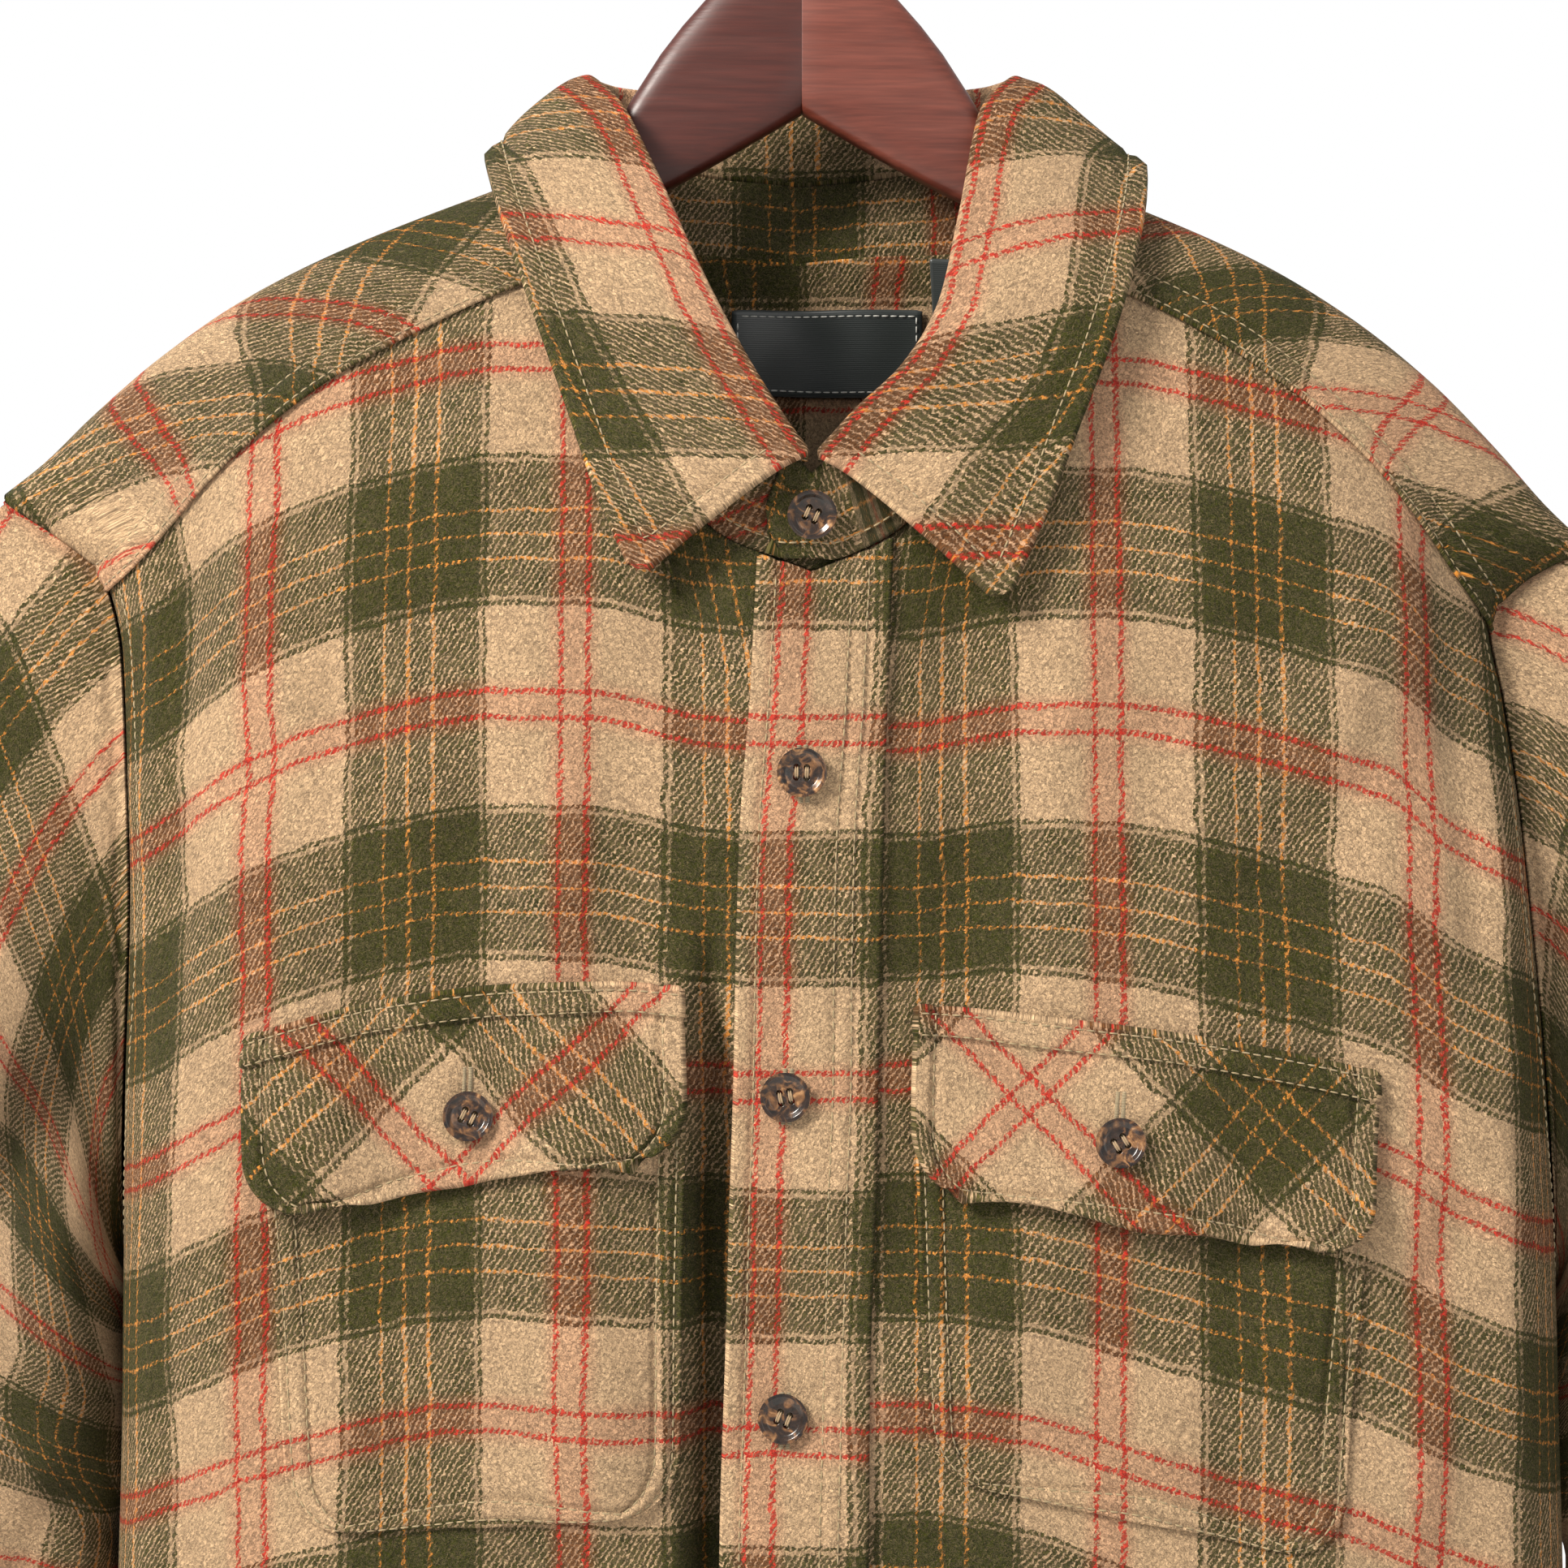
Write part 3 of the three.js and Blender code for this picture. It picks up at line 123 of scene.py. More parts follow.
BODY_FOLDS = table(
    FOLD_COLUMNS,
    (FRONT, -25, -345, -29, -980, 6.5, 11, 1),
    (FRONT, -191, -222, -192, -430, 9, 7, 0),
    (FRONT, 197, -222, 213, -430, 9, 7, 0),
    (FRONT, 112, -560, 126, -980, 24, 13, 0),
    (FRONT, -118, -590, -128, -980, 22, 11, 0),
    (FRONT, 178, -570, 186, -980, 18, -6, 0),
    (FRONT, -70, -600, -74, -980, 20, -5, 0),
    (BACK, -132, -270, -140, -990, 24, 13, 0),
    (BACK, 122, -290, 136, -990, 26, 12, 0),
    (BACK, 6, -420, -12, -990, 22, 9, 0),
    (BACK, -66, -360, -70, -990, 22, -5, 0),
    (BACK, 68, -340, 70, -990, 24, -5, 0),
)
# Smaller creases that only the cloth has.
CREASES = table(
    FOLD_COLUMNS,
    (FRONT, -26, -370, -30, -985, 5.5, 7.5, 1),
    (FRONT, -170, -270, -120, -330, 11, 3.2, 0),
    (FRONT, 190, -300, 128, -372, 12, 3.0, 0),
    (FRONT, -196, -470, -176, -700, 9, 4.0, 0),
    (FRONT, 205, -470, 188, -720, 10, 4.0, 0),
    (FRONT, -104, -262, -92, -372, 10, 2.2, 0),
    (FRONT, -60, -250, -74, -392, 9, -2.0, 0),
    (FRONT, 118, -268, 100, -388, 10, 2.4, 0),
    (FRONT, 84, -262, 72, -384, 9, -2.0, 0),
    (FRONT, -140, -300, -118, -400, 9, -1.8, 0),
    (FRONT, -90, -560, -66, -760, 12, 3.2, 0),
    (FRONT, 20, -470, 27, -700, 6, 2.2, 0),
    (FRONT, -178, -262, -142, -395, 7, 2.4, 0),
    (FRONT, -205, -330, -160, -400, 6, 2.0, 0),
    (FRONT, -203, -300, -206, -640, 8, -2.5, 0),
    (FRONT, 216, -300, 222, -640, 8, -2.5, 0),
    (FRONT, 186, -268, 152, -400, 7, 2.2, 0),
    (FRONT, 214, -420, 182, -500, 9, 2.6, 0),
    (FRONT, -200, -440, -168, -540, 8, 2.6, 0),
    (FRONT, 62, -585, 150, -730, 11, 3.4, 0),
    (FRONT, 40, -600, 52, -900, 10, 3.0, 0),
    (FRONT, -150, -600, -180, -880, 10, 3.2, 0),
    (FRONT, -55, -330, -48, -400, 7, 1.4, 0),
    (FRONT, 60, -300, 42, -392, 8, 1.6, 0),
    (BACK, -30, -300, -46, -700, 12, 3.2, 0),
    (BACK, 34, -330, 40, -760, 11, 3.0, 0),
    (BACK, -176, -330, -188, -700, 12, 4.0, 0),
    (BACK, 170, -350, 190, -760, 12, 4.0, 0),
    (BACK, -96, -560, -60, -900, 12, 3.2, 0),
    (BACK, 100, -620, 84, -930, 12, 3.0, 0),
)
FOLD_FADE = 70
COLLAR_COLUMNS = "at headX headY headZ rollX rollY rollZ edgeX edgeY edgeZ"
COLLAR_RIGHT = table(
    COLLAR_COLUMNS,
    (0, 3.6, -56, -231.5, 1.8, -62.5, -225.4, -49.2, -58, -262.5),
    (0.12, -9, -53, -218, -7, -59, -212, -60.5, -54, -237),
    (0.25, -22, -46, -192, -20.5, -50, -189, -70, -48.5, -210),
    (0.37, -34, -38, -170, -32, -41, -165, -79, -42, -185),
    (0.5, -46, -28, -145, -44.5, -28, -136, -87, -34.5, -163),
    (0.62, -57, -15, -121, -56.5, -13, -110.5, -95.5, -17, -138),
    (0.72, -65, 4, -108, -67.4, 4, -98.5, -99.7, 4, -124),
    (0.82, -59, 21, -115, -60, 24, -98, -91, 28, -134),
    (0.91, -35, 31, -125, -34, 36, -98, -54, 47, -144),
    (1, 0, 34, -129, 0, 41, -98.5, 0, 55, -147),
)
COLLAR_LEFT = table(
    COLLAR_COLUMNS,
    (0, 3.6, -56, -231.5, 6.4, -62.5, -226, 61.5, -58.5, -270.6),
    (0.12, 17, -54, -220.5, 17, -58.5, -213, 75, -56, -240),
    (0.25, 32, -49, -204.5, 33, -52, -197, 85, -51, -214),
    (0.37, 43.5, -41.5, -186, 44, -44, -177, 94.5, -44, -190),
    (0.5, 51, -30.5, -158, 51, -32, -147, 102, -36, -167),
    (0.62, 59.5, -15, -125, 59, -13, -111, 108.5, -17, -141),
    (0.72, 67, 4, -108, 69.3, 4, -98.8, 110.6, 4, -127.5),
    (0.82, 61, 21, -115, 62, 24, -98, 99, 28, -136),
    (0.91, 36, 31, -125, 35, 36, -98, 58, 47, -145),
    (1, 0, 34, -129, 0, 41, -98.5, 0, 55, -147),
)
FALL_BULGE = 3
COLLAR_TIP = 6
TAB_ROUND = 15
TAB_PLAID = 112
COLLAR_STRETCH = 0.86  # the collar's plaid runs a little wider than the body's
STAND_LAP = 0.07
LAP_START = 0.2
PLACKET_EDGES = table(
    "below free sewn",
    (0, -12, 28), (0.06, -13.5, 26), (0.13, -17, 24.5), (0.26, -19.5, 22.5), (0.46, -23, 19.5),
    (1, -25, 17.5),
)
PLACKET_HEM_Z = -914
BUTTON_LINE = table("z x", (-900, -4.6), (-515, -4.4), (-416, -3.7), (-322, 0.5), (-240, 3.6))
FIRST_BUTTON_Z = -321.6
PLACKET_BUTTONS = 6
# Patches on the fronts: corners as x, z seen from the front, the round of the bottom corners, the
# arch of the top edge, the lift off the shirt, and the place of the button.
PATCH_COLUMNS = "tlx tlz trx trz blx blz brx brz round arch lift buttonU buttonV"
PATCHES = {
    "pocket_right": (-163, -408, -34.3, -396, -153, -551, -37, -546, 18, 0, 0, 0, 0),
    "pocket_left": (34.5, -408, 173.5, -424, 39, -534, 162, -560, 18, 0, 0, 0, 0),
    "flap_right": (-166, -402, -35.5, -387.5, -165, -455, -34.5, -436, 17, 7, 2.2, 0.5, 0.66),
    "flap_left": (35.5, -393, 174.5, -413, 33, -446, 171, -468, 17, 3, 4.2, 0.45, 0.6),
    "neck_label": (-21.5, -169.5, 40.5, -169, -22, -196, 41, -197, 0, 0, 0, 0, 0),
    "care_label": (43.5, -153, 62, -154, 45, -173, 65, -175, 0, 0, 0, 0, 0),
}
PATCHES = {name: dict(zip(PATCH_COLUMNS.split(), row)) for name, row in PATCHES.items()}
FLAP_STEP = 0.15
SLEEVE = table(
    "at spread outerZ innerZ depth clearance",
    (0, 40, -234, -474, 26, 0), (0.05, 48, -258, -477, 34, 3), (0.12, 66, -300, -482, 40, 4),
    (0.22, 90, -362, -496, 43, 4), (0.34, 106, -440, -530, 42, 4), (0.46, 112, -520, -582, 41, 5),
    (0.6, 108, -612, -650, 39, 7), (0.8, 94, -738, -752, 35, 11), (1, 80, -848, -848, 31, 15),
)
SLEEVE_DROP_LEFT = 12
SLEEVE_REST = 3.6  # how much closer the soft sleeves lie to the body than their solids
CUFF_LENGTH = 64
CUFF_GAP = 0.5
CUFF_START = 1.2 * math.pi
CUFF_LAP = 0.45
CUFF_BUTTON = 0.95
SLEEVE_FOLD_COLUMNS = "side turn turnEnd start end width depth"
SLEEVE_FOLDS = table(
    SLEEVE_FOLD_COLUMNS,
    (RIGHT, 128, 96, 0.03, 0.36, 15, 13), (RIGHT, 66, 58, 0.06, 0.6, 16, 8),
    (RIGHT, 110, 118, 0.5, 1, 17, 8),
    (RIGHT, 250, 262, 0.05, 0.7, 18, 10), (RIGHT, 300, 290, 0.3, 1, 18, 7),
    (LEFT, 136, 112, 0.03, 0.4, 15, 12), (LEFT, 72, 60, 0.1, 0.75, 17, 8),
    (LEFT, 104, 112, 0.55, 1, 17, 8),
    (LEFT, 246, 258, 0.05, 0.7, 18, 10), (LEFT, 296, 286, 0.3, 1, 18, 7),
)
SLEEVE_CREASES = table(
    SLEEVE_FOLD_COLUMNS,
    (RIGHT, 40, 84, 0.3, 0.42, 10, 3), (RIGHT, 150, 120, 0.36, 0.5, 10, 3.5),
    (RIGHT, 30, 52, 0.46, 0.62, 10, 2.6),
    (RIGHT, 84, 78, 0.62, 0.98, 8, 2.4), (RIGHT, 200, 214, 0.3, 0.8, 10, 3),
    (RIGHT, 276, 276, 0.1, 0.9, 8, 2.4),
    (RIGHT, 330, 322, 0.2, 0.9, 10, 2.2),
    (LEFT, 42, 88, 0.34, 0.46, 10, 3), (LEFT, 150, 118, 0.38, 0.52, 10, 3.5),
    (LEFT, 28, 50, 0.5, 0.66, 10, 2.6),
    (LEFT, 86, 80, 0.62, 0.98, 8, 2.4), (LEFT, 202, 212, 0.3, 0.8, 10, 3),
    (LEFT, 272, 272, 0.1, 0.9, 8, 2.4),
    (LEFT, 328, 320, 0.2, 0.9, 10, 2.2),
)
ELBOW_AT, ELBOW_SWELL, ELBOW_PINCH, ELBOW_LENGTH = 0.4, 5, 6, 0.035
HANGER_ARM = table(
    "out top bottom half",
    (0, -60, -110.6, 7), (18, -63, -121, 7), (31, -75, -128.5, 7), (45, -92, -136, 7),
    (54, -106, -140.5, 7),
    (62, -120, -145, 7), (67, -129.5, -147.5, 7), (73, -137, -150, 7), (82, -138.5, -154, 7.5),
    (100, -143, -162, 8.5), (146, -160, -181, 10), (175, -178, -197, 11), (196, -195, -213, 10),
    (212, -210, -221, 6),
)
NECK_POINT = 0.56
FRONT_NECK_STEPS = [0, 0.08, 0.16, 0.24, 0.32, 0.4, 0.48, NECK_POINT]
FRONT_NECK_LAP = 0.6
YOKE_NECK_STEPS = [NECK_POINT, 0.62, 0.68, 0.75, 0.83, 0.91, 1]
SHOULDER_SHARES = [0.37, 0.46, 0.55, 0.634, 0.708, 0.778, 0.848, 0.922, 1]
RIGHT_FRONT_SHARES = [-0.031, 0.02, 0.05, 0.074, 0.099, 0.124, 0.15, 0.21, 0.29]
LEFT_FRONT_SHARES = [0.043, 0.072, 0.104, 0.14, 0.177, 0.22, 0.266, 0.315]
RIGHT_FRONT_EDGE = 8
LEFT_FRONT_EDGE = 12
NECK_FAN = 0.52
NECK_SHARE = 0.31
NECK_COLUMNS = 36
SHOULDER_COLUMNS = 52
YOKE_ROWS = table(
    "before on behind",
    (1, 0, 0), (0.5, 0.012, 0.03), (0.22, 0.03, 0.07), (0.07, 0.055, 0.12), (0, 0.085, 0.18),
    (-2, 0.125, 0.25),
    (-6, 0.18, 0.34), (-14, 0.27, 0.45), (-0.5, 0.45, 0.6), (-0.75, 0.7, 0.8), (-1, 1, 1),
)
# How far the cross stripes sag below their middle height, by distance from the centre front.
SAG_HIGH = table(
    "out right left",
    (0, -11, -11), (30, -8, -11), (65, 0, -5), (95, 0, -4), (137, -8.5, -11), (165, -20, -19),
    (180, -29, -23),
    (201, -45, -40), (240, -60, -58),
)
SAG_LOW = table(
    "out right left",
    (0, -5, -1), (30, -4, 0), (65, -2, -3), (95, 0, -12), (137, -7, -24), (165, -15, -30),
    (180, -22, -36),
    (201, -32, -46), (240, -50, -60),
)


# Numbers

def smooth(low, high, v):
    t = np.clip((np.asarray(v, float) - low) / (high - low), 0, 1)
    return t * t * (3 - 2 * t)


def mix(a, b, t):
    return a + (b - a) * t


def follow(rows, by, key):
    """Column `key` as a smooth function of column `by`, with no overshoot between rows."""
    x, y = rows[by], rows[key]
    slope = np.diff(y) / np.diff(x)
    bend = np.empty(len(x))
    bend[0], bend[-1] = slope[0], slope[-1]
    a, b = slope[:-1], slope[1:]
    same = a * b > 0
    bend[1:-1] = np.where(same, 2 * a * b / np.where(same, a + b, 1), 0)

    def value(v):
        v = np.clip(np.asarray(v, float), x[0], x[-1])
        i = np.clip(np.searchsorted(x, v, side="right") - 1, 0, len(x) - 2)
        w = x[i + 1] - x[i]
        t = (v - x[i]) / w
        start = (2 * t**3 - 3 * t**2 + 1) * y[i] + (t**3 - 2 * t**2 + t) * w * bend[i]
        return start + (3 * t**2 - 2 * t**3) * y[i + 1] + (t**3 - t**2) * w * bend[i + 1]

    return value


def per_side(rows, by, right="right", left="left"):
    on_right, on_left = follow(rows, by, right), follow(rows, by, left)
    return lambda side, v: np.where(np.asarray(side) < 0, on_right(v), on_left(v))


shoulder_z = per_side(SHOULDER_LINE, "across")
half_width = per_side(HALF_WIDTH, "drop")
yoke_front_drop = per_side(YOKE_EDGE, "across")
yoke_back_drop = follow(YOKE_EDGE, "across", "back")
stand_off = per_side(STAND_OFF, "drop", "back", "front")
hem_z = per_side(HEM, "across", "back", "front")
neck_x = per_side(NECKLINE, "at", "rightX", "leftX")
neck_drop = follow(NECKLINE, "at", "drop")
sag_high = per_side(SAG_HIGH, "out")
sag_low = per_side(SAG_LOW, "out")
placket_free = follow(PLACKET_EDGES, "below", "free")
placket_sewn = follow(PLACKET_EDGES, "below", "sewn")
button_x = follow(BUTTON_LINE, "z", "x")
sleeve_station = {key: follow(SLEEVE, "at", key) for key in SLEEVE if key != "at"}

RUMPLE_WAVES = 16
_rng = np.random.default_rng(SEED)
RUMPLE = [
    (k, math.cos(a) * 2 * math.pi / k, math.sin(a) * 2 * math.pi / k, p, h)
    for k, a, p, h in zip(*(
        _rng.uniform(low, high, RUMPLE_WAVES) for low, high in ((34, 130), (-1.1, 1.1), (0, 6.28), (0.25, 1))
    ))
]


def rumple(x, z, height=2.9):
    """Soft unevenness that every layer of the cloth shares."""
    total = 0
    for length, kx, kz, phase, part in RUMPLE:
        total = total + part * (length / 90) * np.sin(kx * x + kz * z + phase)
    return height * total / 2.2


def troughs(folds, x, z, face, bridged):
    depth = 0
    for k in range(len(folds["face"])):
        f = {key: folds[key][k] for key in folds}
        if f["narrow"] and bridged:
            continue
        along = np.clip((f["zTop"] - z) / (f["zTop"] - f["zBottom"]), 0, 1)
        away = (x - mix(f["xTop"], f["xBottom"], along)) / f["width"]
        fade_length = min(FOLD_FADE, 0.5 * (f["zTop"] - f["zBottom"]))
        fade = smooth(f["zTop"], f["zTop"] - fade_length, z)
        fade = fade * smooth(f["zBottom"], f["zBottom"] + fade_length, z)
        depth = depth + np.where(face == f["face"], f["depth"], 0) * fade * np.exp(-away * away)
    return depth


# The body

def section(side, face, drop):
    width = half_width(side, drop)
    depth = stand_off(face, drop)
    around = (math.pi / 2) * np.sqrt((CORNER * CORNER + depth * depth) / 2)
    arch = ARMHOLE_CUT * np.sin(math.pi * np.clip(drop / ARMHOLE_DEPTH, 0, 1))
    opening = np.where(drop < ARMHOLE_DEPTH, arch, 0)
    return width, depth, around, width - CORNER, 0.995 - opening


def body_point(side, face, share, drop, bridged=False):
    """The body's outer surface. `share` runs from the centre (0) to the side seam or armhole (1)."""
    width, depth, around, flat, end = section(side, face, drop)
    along = share * (flat + around * end)
    turn = (math.pi / 2) * np.maximum(0, along - flat) / around
    out = np.where(turn > 0, flat + CORNER * np.sin(turn), along)
    x = side * out
    z = shoulder_z(side, np.abs(out) / width) - drop
    off = depth * np.cos(turn) - troughs(BODY_FOLDS, x, z, face, bridged)
    still = smooth(14, 60, drop) * np.cos(turn)
    off = off - still * (troughs(CREASES, x, z, face, bridged) + rumple(x + 400 * face, z))
    return np.stack([x, -face * off, z], -1)


def share_at(side, face, x, drop):
    _, _, around, flat, end = section(side, face, drop)
    past = np.clip((side * x - flat) / CORNER, 0, 1)
    along = np.where(past > 0, flat + around * np.arcsin(past) / (math.pi / 2), side * x)
    return along / (flat + around * end)


def face_point(face, x, z, bridged=False):
    x, z = np.broadcast_arrays(np.asarray(x, float), np.asarray(z, float))
    side = np.where(x < 0, RIGHT, LEFT)
    drop = np.full(x.shape, 150.0)
    for _ in range(12):
        drop = np.maximum(0, shoulder_z(side, np.abs(x) / half_width(side, drop)) - z)
    return body_point(side, face, share_at(side, face, x, drop), drop, bridged)


def hem_drop(side, face, share):
    drop = np.full(np.shape(share), 780.0)
    for _ in range(4):
        target = hem_z(face, np.minimum(1, np.abs(share)))
        drop = drop + body_point(side, face, share, drop)[..., 2] - target
    return drop


def neck_place(side, at, clear=0.0):
    drop = neck_drop(at) - (clear / 3) * smooth(0.72, 0.85, at)
    face = np.where(drop < 0, BACK, FRONT)
    x = neck_x(side, at) + side * clear * smooth(0.5, 0.6, at) * smooth(0.98, 0.85, at)
    return share_at(side, face, x, np.abs(drop)), drop, face


# Sheets of cloth

SURFACES = {}


def unit(v):
    return v / np.maximum(np.linalg.norm(v, axis=-1, keepdims=True), 1e-9)


def grid_normals(points, closed):
    if closed:
        across = np.roll(points, -1, 1) - np.roll(points, 1, 1)
    else:
        across = np.gradient(points, axis=1)
    down = np.gradient(points, axis=0)
    return unit(np.cross(down, across))


def lengths(points, axis):
    """Distance along each row (axis 1) or column (axis 0), from its start."""
    step = np.linalg.norm(np.diff(points, axis=axis), axis=-1)
    pad = [(1, 0) if k == axis else (0, 0) for k in range(2)]
    return np.cumsum(np.pad(step, pad), axis=axis)


def cloth_mesh(name, points, out, inn, uv, closed=False):
    """A wall of cloth with soft edges, from a grid whose columns run right and rows down from outside."""
    rows, columns = points.shape[:2]
    normal = grid_normals(points, closed)
    out = np.broadcast_to(np.asarray(out, float), points.shape[:2])
    inn = np.broadcast_to(np.asarray(inn, float), points.shape[:2])
    outer = points + normal * out[..., None]
    inner = points + normal * inn[..., None]
    SURFACES[name] = (outer, normal)
    SURFACES[name + " inside"] = (inner, -normal)
    name = name + "_cloth"
    index = np.arange(rows * columns).reshape(rows, columns)
    uv_columns = uv.shape[1]
    uv_index = np.arange(rows * uv_columns).reshape(rows, uv_columns)
    if closed:
        index = np.concatenate([index, index[:, :1]], 1)
    total = rows * columns

    def quads(ids):
        return np.stack([ids[:-1, :-1], ids[1:, :-1], ids[1:, 1:], ids[:-1, 1:]], -1).reshape(-1, 4)

    faces = [quads(index), quads(index)[:, ::-1] + total]
    corners = [quads(uv_index), quads(uv_index)[:, ::-1]]
    middle = (outer + inner) / 2
    rims = []

    def edge(ids, uv_ids, beyond):
        """One run of the border, in order, with the direction that leads off the cloth."""
        nonlocal total_rim
        flat_ids = ids % total
        thick = np.linalg.norm(outer.reshape(-1, 3)[flat_ids] - inner.reshape(-1, 3)[flat_ids], axis=1)
        rim = middle.reshape(-1, 3)[flat_ids] + beyond * (0.42 * thick)[:, None]
        start = 2 * total + total_rim
        rim_ids = start + np.arange(len(ids))
        if ids[0] == ids[-1]:
            rim, rim_ids = rim[:-1], np.append(rim_ids[:-1], start)
        rims.append(rim)
        total_rim += len(rim)
        a, b = ids[:-1], ids[1:]
        r, s = rim_ids[:-1], rim_ids[1:]
        faces.append(np.stack([b, a, r, s], -1))
        faces.append(np.stack([s, r, a + total, b + total], -1))
        ua, ub = uv_ids[:-1], uv_ids[1:]
        corners.append(np.stack([ub, ua, ua, ub], -1))
        corners.append(np.stack([ub, ua, ua, ub], -1))

    total_rim = 0
    down_end = unit(points[-1] - points[-2])
    up_end = unit(points[0] - points[1])
    if closed:
        edge(index[-1], uv_index[-1], np.concatenate([down_end, down_end[:1]])[: len(index[-1]) + 1])
        edge(index[0][::-1], uv_index[0][::-1], np.concatenate([up_end, up_end[:1]])[::-1])
    else:
        left_end = unit(points[:, 0] - points[:, 1])
        right_end = unit(points[:, -1] - points[:, -2])
        ring, uv_ring = (
            np.concatenate([ids[:, 0], ids[-1, 1:], ids[-2::-1, -1], ids[0, -2::-1]])
            for ids in (index, uv_index)
        )
        beyond = np.concatenate([left_end, down_end[1:], right_end[-2::-1], up_end[-2::-1]])
        edge(ring, uv_ring, unit(beyond))
    vertices = np.concatenate([outer.reshape(-1, 3), inner.reshape(-1, 3), *rims]) * MM
    faces, corners = np.concatenate(faces), np.concatenate(corners)
    mesh = bpy.data.meshes.new(name)
    mesh.vertices.add(len(vertices))
    mesh.vertices.foreach_set("co", vertices.astype(np.float32).ravel())
    mesh.loops.add(faces.size)
    mesh.loops.foreach_set("vertex_index", faces.astype(np.int32).ravel())
    mesh.polygons.add(len(faces))
    mesh.polygons.foreach_set("loop_start", np.arange(0, faces.size, 4, dtype=np.int32))
    mesh.update(calc_edges=True)
    mesh.polygons.foreach_set("use_smooth", np.ones(len(faces), bool))
    layer = mesh.uv_layers.new(name="cloth")
    flat_uv = uv.reshape(-1, 2)[corners.ravel()] * MM
    layer.data.foreach_set("uv", flat_uv.astype(np.float32).ravel())
    mesh.validate()
    piece = bpy.data.objects.new(name, mesh)
    bpy.context.scene.collection.objects.link(piece)
    return piece


def dress(piece, material, slot, *nodes):
    """Gives a piece its material and its body, and hides the nodes that it stands for; the slot is not used."""
    piece.data.materials.clear()
    piece.data.materials.append(material)
    if nodes:
        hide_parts(*nodes)
    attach(piece, "root")
    return piece


def sheet_size(points, closed):
    ring = np.concatenate([points, points[:, :1]], 1) if closed else points
    width = lengths(ring, 1)[:, -1].max()
    length = lengths(ring, 0)[-1].max()
    a = ring[1:, :-1] - ring[:-1, :-1]
    b = ring[:-1, 1:] - ring[:-1, :-1]
    area = np.linalg.norm(np.cross(a, b), axis=-1).sum()
    return width * MM, length * MM, area * 1e-6


def sheet(name, points, out, inn, uv, material, closed=False, nodes=(), slot="flannel"):
    piece = cloth_mesh(name, points, out, inn, uv, closed)
    dress(piece, material, slot, *(nodes or (name,)))
    width, length, area = sheet_size(points, closed)
    area = min(area, 0.999 * width * length)
    return piece


def spread(values, count):
    """`count` places that run through a list of control values, evenly between them."""
    values = np.asarray(values, float)
    return np.interp(np.linspace(0, len(values) - 1, count), np.arange(len(values)), values)


def closer_at_ends(count, width, border=12, part=0.25):
    """`count` places from 0 to 1, with this part of them within the border at each end."""
    inset = border / width
    return np.interp(np.linspace(0, 1, count), [0, part, 1 - part, 1], [0, inset, 1 - inset, 1])


def anchored(points, anchor_x, bridge_x=None):
    """Level distance along each row, counted so that it equals x where the row passes anchor_x.
    Past bridge_x the cloth's depth isn't counted, where a fold swallows what its pattern doesn't show."""
    step = np.diff(points, axis=1)[..., :2]
    if bridge_x is not None:
        middle = (points[:, 1:, 0] + points[:, :-1, 0]) / 2
        step[..., 1] *= smooth(bridge_x, bridge_x - 10, middle)
    run = np.cumsum(np.pad(np.linalg.norm(step, axis=-1), [(0, 0), (1, 0)]), axis=1)
    column = np.abs(points[..., 0] - anchor_x).argmin(1)
    rows = np.arange(len(points))
    sign = np.sign(points[:, -1, 0] - points[:, 0, 0])[:, None]
    return points[rows, column, 0][:, None] + sign * (run - run[rows, column][:, None])


def cross_stripe(x, z):
    """The cloth's own height at a place on the fronts, where the cross stripes sag."""
    side = np.where(x < 0, RIGHT, LEFT)
    low = np.clip((-301 - z) / 215, 0, 1.2)
    return z - mix(sag_high(side, np.abs(x)), sag_low(side, np.abs(x)), low)


def front_place(side, points):
    """Where points of a front, or of a pocket cut to match it, lie in the plaid."""
    u = anchored(points, -85, -50) if side == RIGHT else anchored(points, 95)
    phase = WARP_MIDDLE + (68.4 if side == RIGHT else -93.5)
    return np.stack([u + phase, cross_stripe(points[..., 0], points[..., 2]) + 301 + WEFT_MIDDLE], -1)


